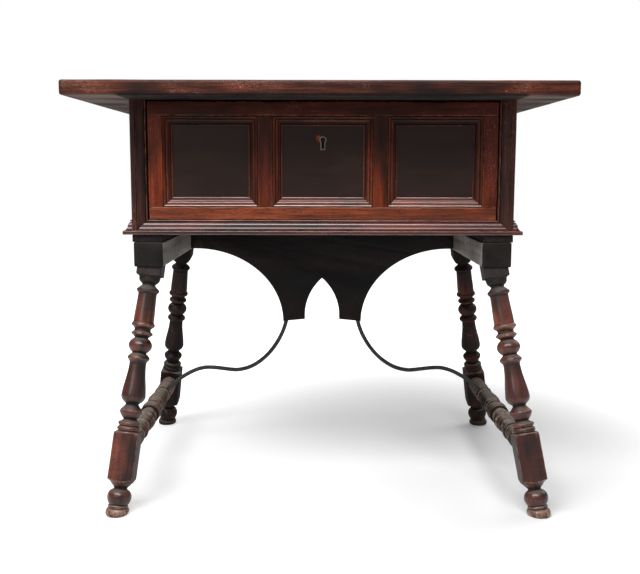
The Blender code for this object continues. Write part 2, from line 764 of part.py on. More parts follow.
def turned(parts, at, radius, step):
    """Joins turned parts, each a list of length and radius pairs, end to end, and gives them in metres.

    A part of the length is a step long, and radii are in 47ths of the square that the piece is cut from.
    """
    rows = [(at, radius)]
    for part in parts:
        base = rows[-1][0]
        rows += [(base + length, r) for length, r in part]
    return [(length * step, r * LEG_SIZE / 47) for length, r in rows]


def leg_rows():
    """Radius of the leg against length up its axis, from just over the floor to under the bearer.

    The turner's story stick has 477 parts over the leg's length, and 47 over its square.
    """
    square = 34
    parts = [
        bulge(5.9, 21.8, 17.4, 21.4, 2),
        [(1.2, 17.3), (1.6, 18.9), (4.2, 18.9), (5.6, 17.2)],
        bulge(29.5, 17.2, 12.4, 22.4, 5),
        [(2, 12.4), (8, 17.4), (14, 22.4), (21, square)],
        [(85, square), (86.5, 22.6), (87.5, 20.6)],
        bulge(8.5, 20.8, 20, 22, 3),
        [(1.2, 19.6)],
        bulge(9.5, 20.2, 15.6, 21.4, 3),
        [(3, 12.6)],
        [(3.5, 15.8), (8, 19), (13, 21.2), (16.5, 21.5)],
        [(2.5, 19.6), (6.5, 16), (12.2, 12.4)],
        [(2.6, 14.8), (5.7, 18.6), (9.5, 21.4), (15, 23)],
        swell(63.5, 23, 15.9, 5, 0.9),
        [(4, 17.6), (8.5, 21.2), (10.5, 21), (16.5, 16.2), (19.3, 13.4)],
        bulge(29, 13.4, 12.8, 22, 5),
        [(4, 16.6), (7, 20.2), (9, 20.4), (14, 15.4)],
        [(3, 15.4), (7.5, 19.6), (10, 22.2), (12, 22.2), (16.8, 19.4)],
        swell(54.5, 19.4, 17.6, 2),
        [(2.8, 19.2), (5.2, 21.5), (7.6, 21.5), (12, 17.4), (17.6, 12.6)],
        [(2, 13.6), (5, 17.4), (9, 19.6), (21, 20.4)],
        [(2.5, 21.6), (4.2, square)],
    ]
    return turned(parts, 7, 21.8, LEG_AXIS / 477)


def leg_radius(radius, angle):
    """The turning's radius in one direction, no wider than the flats of the square stock."""
    flat = max(abs(math.cos(angle)), abs(math.sin(angle)))
    return min(radius, LEG_SIZE / 2 / flat)


def leg_frame(sx, sy):
    """Matrix of a leg: origin at the middle of its foot on the floor, local Z up the leg.

    With age the stand has settled to the right, more at the front than at the back.
    """
    settle = FRONT_SETTLE if sy < 0 else REAR_SETTLE
    foot = Vector((sx * FOOT_X + settle, sy * FOOT_Y, 0))
    head = Vector((sx * LEG_TOP_X, sy * LEG_TOP_Y, BEARER_BOTTOM))
    up = (head - foot).normalized()
    side = Vector((0, 1, 0))
    side = (side - side.dot(up) * up).normalized()
    turn = Matrix((side.cross(up), side, up)).transposed().to_4x4()
    return Matrix.Translation(foot) @ turn


def cut_level(frame, x, y, level):
    """Length up a leg's axis at which the point x, y of its section reaches a level."""
    height = level - (frame @ Vector((x, y, 0))).z
    return height / frame.col[2].z


def make_legs():
    angles = [2 * math.pi * i / LEG_SEGMENTS for i in range(LEG_SEGMENTS)]
    rows = leg_rows()
    corners = {
        "leg_front_left": (-1, -1),
        "leg_front_right": (1, -1),
        "leg_rear_left": (-1, 1),
        "leg_rear_right": (1, 1),
    }
    for name, (sx, sy) in corners.items():
        frame = leg_frame(sx, sy)

        def section(radius, level=None, length=None):
            ring = []
            for a in angles:
                r = leg_radius(radius, a)
                x = r * math.cos(a)
                y = r * math.sin(a)
                ring.append((x, y, cut_level(frame, x, y, level) if length is None else length))
            return ring

        head = BEARER_BOTTOM - GAP
        tenon_end = BEARER_BOTTOM / frame.col[2].z + LEG_TENON
        rings = [section(rows[0][1] * 0.94, level=0.0)]
        rings += [section(r, length=along) for along, r in rows]
        rings += [section(rows[-1][1], level=head), section(LEG_TENON_RADIUS, level=head)]
        rings += [section(LEG_TENON_RADIUS, length=tenon_end)]
        leg = put(name, loft(rings), "leg_wood", matrix=frame)
        centre, face = stretcher_seat(sx, sy)
        outwards = stretcher_axis(sx)[1] * sy
        mouth = centre - outwards * LEG_SIZE
        floor = centre + outwards * (STRETCHER_TENON - LEG_SIZE / 2 + GAP * 2)
        smooth(combine(leg, [bore(mouth, floor, STRETCHER_TENON_RADIUS)]))


def stretcher_seat(sx, sy):
    """Where the stretcher's axis meets the leg's axis, and the normal of the block's inner face."""
    frame = leg_frame(sx, sy)
    up = frame.col[2].to_3d()
    centre = frame.to_translation() + up * (STRETCHER_Z / up.z)
    return centre, -sy * frame.col[1].to_3d()


def stretcher_axis(sx):
    """Middle of a stretcher between the axes of its legs, and its direction from front to back."""
    front, rear = (stretcher_seat(sx, sy)[0] for sy in (-1, 1))
    return (front + rear) / 2, (rear - front).normalized()


def stretcher_rows(half):
    """Radius against distance from the stretcher's middle: its half has 254 parts to the shoulder."""
    parts = [
        [(8, 21), (14, 19.4), (17, 17)],
        [(3, 16.5)],
        bulge(9, 17.6, 17, 20.8, 3),
        [(3, 16)],
        swell(38, 16.6, 20.8, 3),
        swell(76, 20.8, 16, 4),
        bulge(10, 17, 17, 19.8, 3),
        [(3, 15.6)],
        swell(34, 16.2, 18.8, 3),
    ]
    return turned(parts, 0, 21.8, half / 254)


def make_stretchers():
    angles = [2 * math.pi * i / BAR_SEGMENTS for i in range(BAR_SEGMENTS)]
    for sx, side in ((-1, "left"), (1, "right")):
        middle, along = stretcher_axis(sx)
        across = along.cross(Vector((0, 0, 1))).normalized()
        up = across.cross(along)

        def section(radius, distance):
            hub = middle + along * distance
            return [hub + (across * math.cos(a) + up * math.sin(a)) * radius for a in angles]

        rings = []
        for sy in (-1, 1):
            centre, face = stretcher_seat(sx, sy)
            seat = centre + face * (LEG_SIZE / 2 + GAP)

            def shoulder(radius):
                slope = face.dot(along)
                return [p + along * (face.dot(seat - p) / slope) for p in section(radius, 0.0)]

            reach = face.dot(seat - middle) / face.dot(along)
            rows = stretcher_rows(abs(reach))
            half = [section(r, sy * distance) for distance, r in rows]
            half += [shoulder(rows[-1][1] * 0.94), shoulder(STRETCHER_TENON_RADIUS)]
            half += [section(STRETCHER_TENON_RADIUS, reach + sy * STRETCHER_TENON)]
            rings = half[:0:-1] if sy < 0 else rings + half
        stretcher = put(f"stretcher_{side}", loft(rings), "leg_wood")
        inside, outside = stay_seat(sx)
        smooth(combine(stretcher, [bore(inside, outside, STAY_RADIUS)]))


def stay_points(sx):
    """Points of the stay's curve with their handles, in the plane of the cross board."""
    middle, along = stretcher_axis(sx)
    axis = middle + along * ((BOARD_Y - middle.y) / along.y)
    end = Vector((sx * axis.x - STAY_END_INSET, axis.z + STAY_END_INSET))

    def seat(height):
        return (STAY_X - STAY_LEAN * height, TIP_OUTER_Z + height)

    def share(across, down):
        return (STAY_X + across * (end.x - STAY_X), TIP_OUTER_Z + down * (end.y - TIP_OUTER_Z))

    points = [
        (seat(STAY_SEAT), None, seat(STAY_SEAT / 2)),
        (seat(-STAY_SEAT / 12), seat(STAY_SEAT / 2), seat(-STAY_SEAT * 2)),
        (share(0.42, 0.70), share(0.195, 0.69), share(0.507, 0.69)),
        (share(0.65, 0.665), share(0.577, 0.662), share(0.767, 0.665)),
        (share(1, 1), share(0.924, 0.858), None),
    ]

    def place(p):
        return Vector((sx * p[0], BOARD_Y, p[1])) if p else None

    return [tuple(place(p) for p in point) for point in points]


def stay_seat(sx):
    """Ends of the hole in the stretcher that takes the stay's lower end."""
    end, handle, none = stay_points(sx)[-1]
    along = (end - handle).normalized()
    return end + along * GAP * 2, end - along * 0.03


def make_stays():
    for sx, side in ((-1, "left"), (1, "right")):
        curve = bpy.data.curves.new(f"iron_stay_{side}", "CURVE")
        curve.dimensions = "3D"
        curve.resolution_u = 9
        curve.bevel_depth = STAY_RADIUS
        curve.bevel_resolution = 1
        curve.use_fill_caps = True
        points = stay_points(sx)
        spline = curve.splines.new("BEZIER")
        spline.bezier_points.add(len(points) - 1)
        for knot, (at, left, right) in zip(spline.bezier_points, points):
            knot.co = at
            knot.handle_left = left or at - (right - at)
            knot.handle_right = right or at - (left - at)
        curve.materials.append(MATERIALS["iron"])
        stay = bpy.data.objects.new(f"iron_stay_{side}", curve)
        bpy.context.scene.collection.objects.link(stay)


def make_cross_board():
    """Shaped board between the bearers: two swept arches beside a pointed one."""
    steps = 14
    inner = BEARER_IN - GAP
    half = [(inner, BEARER_TOP - GAP), (inner, ARCH_SPRING)]
    for i in range(steps + 1):
        t = math.pi / 2 * (1 - i / steps)
        x = ARCH_REACH - (ARCH_REACH - TIP_OUTER_X) * math.cos(t)
        z = TIP_OUTER_Z + (ARCH_SPRING - TIP_OUTER_Z) * math.sin(t)
        half.append((x, z))
    half.append((TIP_INNER_X, TIP_INNER_Z))
    rise = LANCET_APEX - LANCET_SPRING
    radius = (TIP_INNER_X**2 + rise**2) / (2 * TIP_INNER_X)
    sweep = math.asin(rise / radius)
    arch_steps = 7
    for i in range(arch_steps + 1):
        t = sweep * i / arch_steps
        half.append((TIP_INNER_X - radius + radius * math.cos(t), LANCET_SPRING + radius * math.sin(t)))
    half[-1] = (0.0, LANCET_APEX)
    outline = half + [(-x, z) for x, z in reversed(half[:-1])]
    y = (BOARD_Y - BOARD_THICK / 2, BOARD_Y + BOARD_THICK / 2)
    board = put("cross_board", prism(outline, "y", *y), "stand_wood")
    for sx in (-1, 1):
        combine(board, [board_tenon(sx, 0.0)], "UNION")
        top, none, below = stay_points(sx)[0]
        lean = (top - below).normalized()
        combine(board, [bore(top - lean * STAY_SEAT * 2, top + lean * GAP, STAY_RADIUS)])
    smooth(board, 20)


def board_tenon(sx, extra):
    """Stub tenon of the cross board in a bearer; extra gives the size of its mortise."""
    x = sorted((sx * (BEARER_IN - 0.01), sx * (BEARER_IN + BOARD_TENON + extra)))
    y = grown((BOARD_Y, BOARD_Y), BOARD_THICK / 2 - TENON_SHOULDER + extra)
    z = grown((ARCH_SPRING, BEARER_TOP), extra - 0.010)
    return box(x, y, z)


def make_bearers():
    """Beams under the case sides, each with a cap that holds the edge of the dust board."""
    for sx, side in ((-1, "left"), (1, "right")):
        x = grown((sx * LEG_TOP_X, sx * LEG_TOP_X), BEARER_WIDTH / 2)
        bearer = put(
            f"bearer_{side}",
            box(x, (-CASE_REAR, CASE_REAR), (BEARER_BOTTOM, BEARER_TOP), BEARER_ARRIS),
            "stand_wood",
        )
        holes = [board_tenon(sx, GAP)]
        for sy in (-1, 1):
            frame = leg_frame(sx, sy)
            up = frame.col[2].to_3d()
            head = frame.to_translation() + up * (BEARER_BOTTOM / up.z)
            holes.append(bore(head - up * 0.03, head + up * (LEG_TENON + GAP), LEG_TENON_RADIUS))
        combine(bearer, holes)
        cap_x = sorted((sx * CAP_IN, sx * SIDE_OUT))
        cap_z = (BEARER_TOP + GAP, CASE_FLOOR)
        cap = box(cap_x, (-CASE_REAR, CASE_REAR), cap_z, BEARER_ARRIS / 2)
        cap = put(f"bearer_cap_{side}", cap, "stand_wood")
        rebate_x = sorted((sx * BEARER_IN, sx * (DUST_BOARD_HALF + GAP)))
        rebate_y = (DUST_BOARD_FRONT - GAP, CASE_REAR + GAP)
        rebate_z = (BEARER_TOP, DUST_BOARD_TOP + GAP)
        combine(cap, [box(rebate_x, rebate_y, rebate_z)])


def hang(objects, name, at):
    """Parents moving pieces to an empty on their joint's axis, leaving them where they are."""
    axis = bpy.data.objects.new(name, None)
    axis.location = at
    bpy.context.scene.collection.objects.link(axis)
    bpy.context.view_layer.update()
    for obj in objects:
        obj.parent = axis
        obj.matrix_parent_inverse = axis.matrix_world.inverted()
    return axis


for old in list(bpy.data.objects):
    bpy.data.objects.remove(old, do_unlink=True)
MATERIALS = make_materials()
make_top()
make_case()
drawer = make_drawer_front() + make_drawer_box()
lock, lock_bolt = make_lock()
hang(drawer + lock + [lock_bolt], "drawer_axis", (0, FACE, DRAWER_BOTTOM))
make_bearers()
make_legs()
make_stretchers()
make_cross_board()
make_stays()

# The top lies over the origin, and the case and stand a little to the right of its middle
for part in bpy.data.objects:
    if part.parent is None:
        part.location.x += CASE_SHIFT
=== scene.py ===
"""Looks of the platform table: waxed walnut, wrought iron, and a plain white studio round them.

Metres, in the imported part's frame: +Z up, the drawer front facing -Y, the floor at z = 0.
"""

import json
import math

import bmesh
import bpy
import numpy as np
from mathutils import Matrix, Vector, noise

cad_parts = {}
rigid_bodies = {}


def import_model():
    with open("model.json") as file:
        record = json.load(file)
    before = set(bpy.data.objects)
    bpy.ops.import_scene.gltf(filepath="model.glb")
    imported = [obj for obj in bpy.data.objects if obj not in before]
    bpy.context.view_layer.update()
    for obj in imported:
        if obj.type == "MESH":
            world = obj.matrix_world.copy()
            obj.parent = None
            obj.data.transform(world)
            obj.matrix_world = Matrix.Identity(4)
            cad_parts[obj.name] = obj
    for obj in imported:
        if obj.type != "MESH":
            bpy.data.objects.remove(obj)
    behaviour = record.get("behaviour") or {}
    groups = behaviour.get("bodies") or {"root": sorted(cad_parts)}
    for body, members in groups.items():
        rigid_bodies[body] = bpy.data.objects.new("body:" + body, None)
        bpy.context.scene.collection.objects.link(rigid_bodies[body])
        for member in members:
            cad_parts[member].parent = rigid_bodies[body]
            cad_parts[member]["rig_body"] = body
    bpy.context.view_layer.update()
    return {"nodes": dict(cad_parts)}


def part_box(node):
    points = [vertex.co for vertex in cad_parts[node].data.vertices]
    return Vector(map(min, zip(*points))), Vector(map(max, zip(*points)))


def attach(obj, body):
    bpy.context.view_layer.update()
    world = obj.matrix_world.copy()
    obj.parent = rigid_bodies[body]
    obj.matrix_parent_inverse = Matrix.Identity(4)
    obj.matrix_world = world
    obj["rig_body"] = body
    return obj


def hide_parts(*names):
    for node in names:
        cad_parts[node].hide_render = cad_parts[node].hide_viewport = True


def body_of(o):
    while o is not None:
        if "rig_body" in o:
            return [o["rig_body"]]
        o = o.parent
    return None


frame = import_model()

MM = 0.001
GAP = 0.3 * MM
HAIR = 0.1 * MM
SIDES = {"left": -1, "right": 1}

# Levels and edges that the frame gives
FRONT_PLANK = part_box("top_plank_front")
CASE_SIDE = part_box("case_side_right")
TOP_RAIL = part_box("drawer_rail_top")
BOTTOM_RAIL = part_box("drawer_rail_bottom")
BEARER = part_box("bearer_right")
CROSS_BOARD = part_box("cross_board")
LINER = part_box("keyhole_liner")

UNDER_TOP = FRONT_PLANK[0].z
HEIGHT = FRONT_PLANK[1].z
CENTRE = (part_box("case_side_left")[0].x + CASE_SIDE[1].x) / 2
SIDE_IN = CASE_SIDE[0].x - CENTRE
SIDE_OUT = CASE_SIDE[1].x - CENTRE
SIDE_THICK = SIDE_OUT - SIDE_IN
CASE_FRONT = CASE_SIDE[0].y
CASE_REAR = CASE_SIDE[1].y
CASE_FLOOR = CASE_SIDE[0].z - GAP
CASE_TOP = CASE_SIDE[1].z
MOULD_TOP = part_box("base_moulding_front")[1].z
BAND_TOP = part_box("architrave_right")[0].z - GAP
FACE = TOP_RAIL[0].y
OPEN_BOTTOM = BOTTOM_RAIL[1].z
OPEN_TOP = TOP_RAIL[0].z
STILE_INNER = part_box("drawer_stile_left")[1].x
PANEL_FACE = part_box("drawer_panel_left")[0].y
BEARER_IN = BEARER[0].x - CENTRE
BEARER_BOTTOM = BEARER[0].z
LEG_TOP = BEARER_BOTTOM - GAP
BOARD_Y = (CROSS_BOARD[0].y + CROSS_BOARD[1].y) / 2
TIP_Z = CROSS_BOARD[0].z

# Cutters leave room round what is let in, reach past the stock, and need no points along their sides
CUTTER_ROOM = Vector((0.3, 0.3, 0.3)) * MM
CUTTER_REACH = 5 * MM
CUTTER_STEP = 100 * MM

# The top
PLANK_ROUND = 5.0 * MM
PLANK_SEAM = 0.9 * MM
PLANK_END = 4.0 * MM
PLANK_STEP = 10 * MM
# Depth above the top's underside within which painted shade blackens it over the drawer
UNDERSIDE_SHADE_DEPTH = 3 * MM
TONGUE = 8 * MM
PEG_SLACK = 0.2 * MM
BOLT_SLACK = Vector((2.0, 1.0, 0)) * MM
BOLT_SLOT = 13 * MM

# Sections of the mouldings
SECTION_STEP = 6 * MM
MITRE_GAP = 0.05 * MM
BEAD_WIDTH = 3.2 * MM
BEAD_RISE = 1.8 * MM
QUIRK_WIDTH = 1.2 * MM
QUIRK_DEPTH = 0.8 * MM
OGEE_WIDTH = 14.2 * MM
OGEE_STEP = 1.4 * MM
OGEE_BEND = 1.1 * MM
SINK = 1.4 * MM
SINK_DEPTH = 2.2 * MM
MOULD_WIDTH = BEAD_WIDTH + QUIRK_WIDTH + OGEE_WIDTH + SINK
MOULD_LOW = 3.6 * MM
MOULD_HIGH = 12.8 * MM
BAND_PROUD = 17.0 * MM
BAND_ARRIS = 1.4 * MM
BAND_STEP = 4 * MM
PANEL_MOULD_WIDTH = 18.5 * MM

# The drawer front
RAIL_ARRIS = 1.4 * MM
UPRIGHT_ARRIS = 0.7 * MM
PANEL_ARRIS = 0.5 * MM
FRONT_REACH = 0.3
STILE_RUB_Z = 0.655
STILE_RUB_REACH = 0.07
STILE_RUB_WIDTH = 9 * MM
MUNTIN_RUB_Z = 0.67
MUNTIN_RUB_FADE = 0.04

# The keyhole
LINER_WALL = 2.2 * MM
KEYHOLE_BOW = 4.6 * MM
KEYHOLE_SLOT = 5.0 * MM
KEYHOLE_Z = LINER[1].z - KEYHOLE_BOW - LINER_WALL
KEYHOLE_DROP = KEYHOLE_Z - LINER[0].z - LINER_WALL
KEY_RUB_LEFT = 7.5 * MM
KEY_RUB_UP = 3.5 * MM
KEY_RUB_RADIUS = 12 * MM

# The stand
BEARER_ARRIS = 2.2 * MM
BOARD_ARRIS = 1.2 * MM
LEG_SIZE = 47 * MM
LEG_CORNER = 1.8 * MM
STORY_STICK = 1.0 * MM
FAIR_STEP = 1.1 * MM
FOOT_TRIM = 20 * MM
FOOT_WEAR_Z = 16 * MM
FOOT_WEAR_FADE = 8 * MM
# Height up the leg at which painted shade starts to blacken the head under the bearer, and over which it
# grows full
HEAD_SHADE_Z = 0.410
HEAD_SHADE_FADE = 0.025
NECK_RADIUS = 18.5 * MM
NECK_FADE = 5 * MM
BLOCK_FACE = 22.5 * MM
DRUM_Z = 0.365
DRUM_REACH = 0.05
VASE_Z = 0.265
VASE_REACH = 0.045
STRETCHER_TENON = 28 * MM
STRETCHER_SINK = 1.5 * MM
STRETCHER_RIPPLES = ((0.6 * MM, 2.2 * MM), (0.12 * MM, 0.7 * MM))
SCUFF_WIDTH = 11 * MM
TIP_OUTER_X = 90.5 * MM
TIP_INNER_X = 40.0 * MM
TIP_STEP = 5.0 * MM
ARCH_LIFT = 2.6 * MM
ARCH_SHOULDER = 11.5 * MM
LANCET_LIFT = 8.0 * MM
LANCET_RISE = 88.4 * MM
STAY_RADIUS = 4.6 * MM
STAY_HAMMERED = 0.05
STAY_SEAT = 24 * MM
STAY_LEAN = 0.23
STAY_X = 83.6 * MM
STAY_END_INSET = 8.5 * MM

# How much of the stain is rubbed off each leg and stretcher
LEG_RUBBED = {"leg_front_left": 0.42, "leg_front_right": 0.18, "leg_rear_left": 0.0, "leg_rear_right": 0.4}
STRETCHER_RUBBED = {"left": 0.75, "right": 0.4}

# Turns of the surface, in radians per metre, at which wear and dirt start, and over which they grow full
WEAR_START = 120
WEAR_RANGE = 700
DIRT_START = 50
DIRT_RANGE = 300
CREASE = math.radians(38)
THINNEST_FACE = 0.05 * MM

# Waves of unevenness to the metre: of the plane and the nicks, which are partly even, and of the rubbing on
# each kind of piece
SWAY_WAVES = 14
NICK_WAVES = 45
NICK_EVEN = 0.25
TOP_WAVES = 7
FRAME_WAVES = 12
PANEL_WAVES = 150
LEG_WAVES = 32

# How far each piece's wood lies from the last one's, so that no two have the same grain
TREE_SHIFT = (0.371, 0.237, 1.713)


# Finishes
SCAR = "#a5948a"
# Near-black of dirt in the hollows, which also paints shade
DIRT_AND_SHADE = "#0d0908"
# Pale of dust, which also paints sheen on what faces up
DUST_AND_SHEEN = "#a3968c"

# Width across and length along the grain of each pattern, in millimetres, and its detail. Pores are 0.3 mm
# wide in walnut, and scratches are as fine: they and the fibre are drawn wider, so that they show.
GRAIN = {
    "streak": (10, 170, 5.0),
    "fibre": (2.6, 75, 4.0),
    "pore": (1.5, 16, 2.0),
    "cloud": (60, 150, 2.0),
    "fleck": (6, 14, 3.0),
    "tool": (45, 8, 3.0),
    "scratch": (0.9, 26, 0.0),
}
SCRATCH_TILT = (0.5, 0.7, 0.3)

# Width of a cell, radius of its speck and of the speck's rim, in millimetres, and how bright a cell has to be
# to hold one
CHIPS = (18, 0.6, 1.0, 0.55)
BEETLE_HOLES = (24, 0.8, 1.1, 0.62)

# Sizes on the iron, of hammer marks and of flakes of scale, which are drawn coarser so that they show
HAMMER_MARK = 14 * MM
SCALE_FLAKE = 2.5 * MM


def linear(hex_colour):
    """Linear RGBA of an sRGB hex colour."""
    channels = [int(hex_colour[i : i + 2], 16) / 255 for i in (1, 3, 5)]
    return [c / 12.92 if c <= 0.04045 else ((c + 0.055) / 1.055) ** 2.4 for c in channels] + [1.0]


def new_finish(name):
    """A new material, its node tree and its shader."""
    material = bpy.data.materials.new(name)
    material.use_nodes = True
    return material, material.node_tree, material.node_tree.nodes["Principled BSDF"]


def add(tree, kind, settings=None, links=None):
    """Adds a shader node with its settings and links, and gives its first output in use."""
    node = tree.nodes.new(f"ShaderNode{kind}")

    def socket(key):
        if isinstance(key, int):
            return node.inputs[key]
        return next(s for s in node.inputs if s.name == key and s.enabled)

    for key, value in (settings or {}).items():
        if isinstance(key, str) and hasattr(node, key):
            setattr(node, key, value)
        else:
            socket(key).default_value = value
    for key, source in (links or {}).items():
        tree.links.new(source, socket(key))
    return next(s for s in node.outputs if s.enabled)


def specks(tree, wood, cell, core, rim, bright):
    """Round specks scattered over the wood, one in each cell that is bright enough."""
    cells = add(tree, "TexVoronoi", {"Scale": 1 / (cell * MM)}, {"Vector": wood}).node.outputs
    ends = {"From Min": core / cell, "From Max": rim / cell, "To Min": 1.0, "To Max": 0.0}
    speck = add(tree, "MapRange", ends, {"Value": cells["Distance"]})
    chosen = add(tree, "Math", {"operation": "GREATER_THAN", 1: bright}, {0: cells["Color"]})
    return add(tree, "Math", {"operation": "MULTIPLY"}, {0: speck, 1: chosen})


def old_wood(
    name,
    deep,
    stain,
    rubbed,
    bare,
    rough=0.38,
    dust_and_sheen=0.0,
    wax=0.0,
    figure=0.6,
    tooled=0.0,
    relief=0.45,
    scars=0.4,
    raw="#1d1512",
):
    """Walnut, planed or turned by hand, stained dark and waxed over a long life, or chestnut left bare.

    The eye gets a brown that is near black in the low grain and red where hands have rubbed the
    stain thin, paler arrises, black dirt in the quirks, a few beetle holes and a satin gloss; the
    near-black also paints shade where a piece's marks ask for it, and the dust a pale sheen on what faces up.
    Deep, stain, rubbed and bare are its colours from the low grain to the arrises, and raw is
    that of an underside. Figure is how much the grain shows, and tooled how much the tool's marks do.
    """
    material, tree, shader = new_finish(name)
    wood = add(tree, "Attribute", {"attribute_name": "grain"}).node.outputs["Vector"]
    marks = add(tree, "Attribute", {"attribute_name": "marks"}).node.outputs["Vector"]
    marks = add(tree, "SeparateXYZ", {}, {"Vector": marks}).node.outputs
    wear, grime_and_shade, tone = marks["X"], marks["Y"], marks["Z"]
    turn = {"rotation_type": "EULER_XYZ", "Rotation": SCRATCH_TILT}
    askew = add(tree, "VectorRotate", turn, {"Vector": wood})
    look = {}
    for pattern, (across, along, detail) in GRAIN.items():
        scale = (1 / (across * MM), 1 / (across * MM), 1 / (along * MM))
        lie = askew if pattern == "scratch" else wood
        size = add(tree, "VectorMath", {"operation": "MULTIPLY", 1: scale}, {0: lie})
        settings = {"Scale": 1.0, "Detail": detail, "Roughness": 0.6}
        look[pattern] = add(tree, "TexNoise", settings, {"Vector": size})

    # What is drawn from each pattern: where in it that starts and is full, and its least and its most
    ramps = {
        "fibre": ("fibre", 0.32, 0.68, 0.35, 1.25),
        "pore": ("pore", 0.56, 0.68, 0.0, figure),
        "smudge": ("fleck", 0.6, 0.72, 0.0, figure),
        "tool": ("tool", 0.52, 0.66, 0.0, tooled),
        "patch": ("fleck", 0.38, 0.62, 0.0, 1.0),
        "scratch": ("scratch", 0.7, 0.76, 0.0, 1.0),
        "few": ("cloud", 0.5, 0.6, 0.0, 1.0),
        "blotch": ("cloud", 0.38, 0.62, 0.35, 1.0),
        "crevice_and_shade": ("fleck", 0.25, 0.55, 0.75, 1.0),
        "dust_and_sheen_patches": ("fleck", 0.3, 0.6, 0.6, 1.0),
        "gloss": ("streak", 0.3, 0.7, rough - 0.1 * figure, rough + 0.14 * figure),
    }
    shown = {}
    for mark, (pattern, start, full, least, most) in ramps.items():
        ends = {"From Min": start, "From Max": full, "To Min": least, "To Max": most}
        shown[mark] = add(tree, "MapRange", ends, {"Value": look[pattern]})

    # Stain, lying deeper in some bands of the grain than in others, and rubbed thin in clouds
    bands = add(tree, "Math", {"operation": "MULTIPLY_ADD", 1: 0.6}, {0: look["streak"], 2: look["cloud"]})
    bands = add(tree, "MapRange", {"From Min": 0.62, "From Max": 0.98}, {"Value": bands})
    settings = {"data_type": "RGBA", "A": linear(deep), "B": linear(stain)}
    colour = add(tree, "Mix", settings, {"Factor": bands})
    thin = add(tree, "Math", {"operation": "MULTIPLY_ADD", 1: 0.9}, {0: look["cloud"], 2: tone})
    thin = add(tree, "Math", {"operation": "MULTIPLY_ADD", 1: 0.8}, {0: look["streak"], 2: thin})
    ends = {"interpolation_type": "SMOOTHSTEP", "From Min": 1.05, "From Max": 1.95}
    thin = add(tree, "MapRange", ends, {"Value": thin})
    colour = add(tree, "Mix", {"data_type": "RGBA", "B": linear(rubbed)}, {"Factor": thin, "A": colour})
    settings = {"data_type": "RGBA", "blend_type": "MULTIPLY", "Factor": figure}
    colour = add(tree, "Mix", settings, {"A": colour, "B": shown["fibre"]})

    # Open pores, dark smudges and the marks of the saw or the turning tool across the grain
    low_spot = add(tree, "Math", {"operation": "MAXIMUM"}, {0: shown["pore"], 1: shown["smudge"]})
    if tooled:
        low_spot = add(tree, "Math", {"operation": "MAXIMUM"}, {0: low_spot, 1: shown["tool"]})

    # Arrises rubbed bare in patches, and a few pale scratches and chips
    worn = add(tree, "Math", {"operation": "MULTIPLY"}, {0: wear, 1: shown["patch"]})
    scratch = add(tree, "Math", {"operation": "MULTIPLY"}, {0: shown["scratch"], 1: shown["few"]})
    scar = add(tree, "Math", {"operation": "MAXIMUM"}, {0: specks(tree, askew, *CHIPS), 1: scratch})
    scar = add(tree, "Math", {"operation": "MULTIPLY", 1: scars}, {0: scar})
    for cover, paint in ((low_spot, deep), (worn, bare), (scar, SCAR)):
        colour = add(tree, "Mix", {"data_type": "RGBA", "B": linear(paint)}, {"Factor": cover, "A": colour})

    # Faces turned down take the raw colour and no wax: pale sawn wood under the top, and on the other pieces
    # a dark brown that darkens what faces down
    up = add(tree, "NewGeometry").node.outputs["Normal"]
    up = add(tree, "SeparateXYZ", {}, {"Vector": up}).node.outputs["Z"]
    facing_down = add(tree, "MapRange", {"From Min": -0.6, "From Max": -0.95, "To Max": 0.8}, {"Value": up})
    settings = {"data_type": "RGBA", "blend_type": "MULTIPLY", "Factor": 1.0, "A": linear(raw)}
    blotched = add(tree, "Mix", settings, {"B": shown["blotch"]})
    colour = add(tree, "Mix", {"data_type": "RGBA"}, {"Factor": facing_down, "A": colour, "B": blotched})

    # Dirt in the hollows and the beetle holes, and painted shade where a piece's marks add it
    hole = specks(tree, wood, *BEETLE_HOLES)
    crevice_and_shade = add(tree, "Math", {"operation": "MULTIPLY"}, {0: grime_and_shade, 1: shown["crevice_and_shade"]})
    dirt_and_shade = add(tree, "Math", {"operation": "MAXIMUM"}, {0: crevice_and_shade, 1: hole})
    colour = add(tree, "Mix", {"data_type": "RGBA", "B": linear(DIRT_AND_SHADE)}, {"Factor": dirt_and_shade, "A": colour})
    gloss = add(tree, "Math", {"operation": "MULTIPLY_ADD", 1: 0.3}, {0: dirt_and_shade, 2: shown["gloss"]})
    gloss = add(tree, "Math", {"operation": "MULTIPLY_ADD", 1: 0.7}, {0: facing_down, 2: gloss})

    # Dust that lies on what faces up, which also paints a pale sheen of the light from above on the legs'
    # ring tops
    if dust_and_sheen:
        ends = {"interpolation_type": "SMOOTHSTEP", "From Min": 0.55, "From Max": 0.95, "To Max": dust_and_sheen}
        dust_and_sheen_mask = add(tree, "MapRange", ends, {"Value": up})
        dust_and_sheen_mask = add(tree, "Math", {"operation": "MULTIPLY"}, {0: dust_and_sheen_mask, 1: shown["dust_and_sheen_patches"]})
        colour = add(tree, "Mix", {"data_type": "RGBA", "B": linear(DUST_AND_SHEEN)}, {"Factor": dust_and_sheen_mask, "A": colour})
        gloss = add(tree, "Math", {"operation": "MULTIPLY_ADD", 1: 0.35}, {0: dust_and_sheen_mask, 2: gloss})

    height = add(tree, "Math", {"operation": "MULTIPLY_ADD", 1: 0.7}, {0: look["fibre"], 2: look["streak"]})
    for hollow in (hole, low_spot):
        height = add(tree, "Math", {"operation": "SUBTRACT"}, {0: height, 1: hollow})
    normal = add(tree, "Bump", {"Strength": relief, "Distance": 0.3 * MM}, {"Height": height})
    tree.links.new(colour, shader.inputs["Base Color"])
    tree.links.new(gloss, shader.inputs["Roughness"])
    tree.links.new(normal, shader.inputs["Normal"])
    shader.inputs["IOR"].default_value = 1.5
    shader.inputs["Coat Roughness"].default_value = 0.18

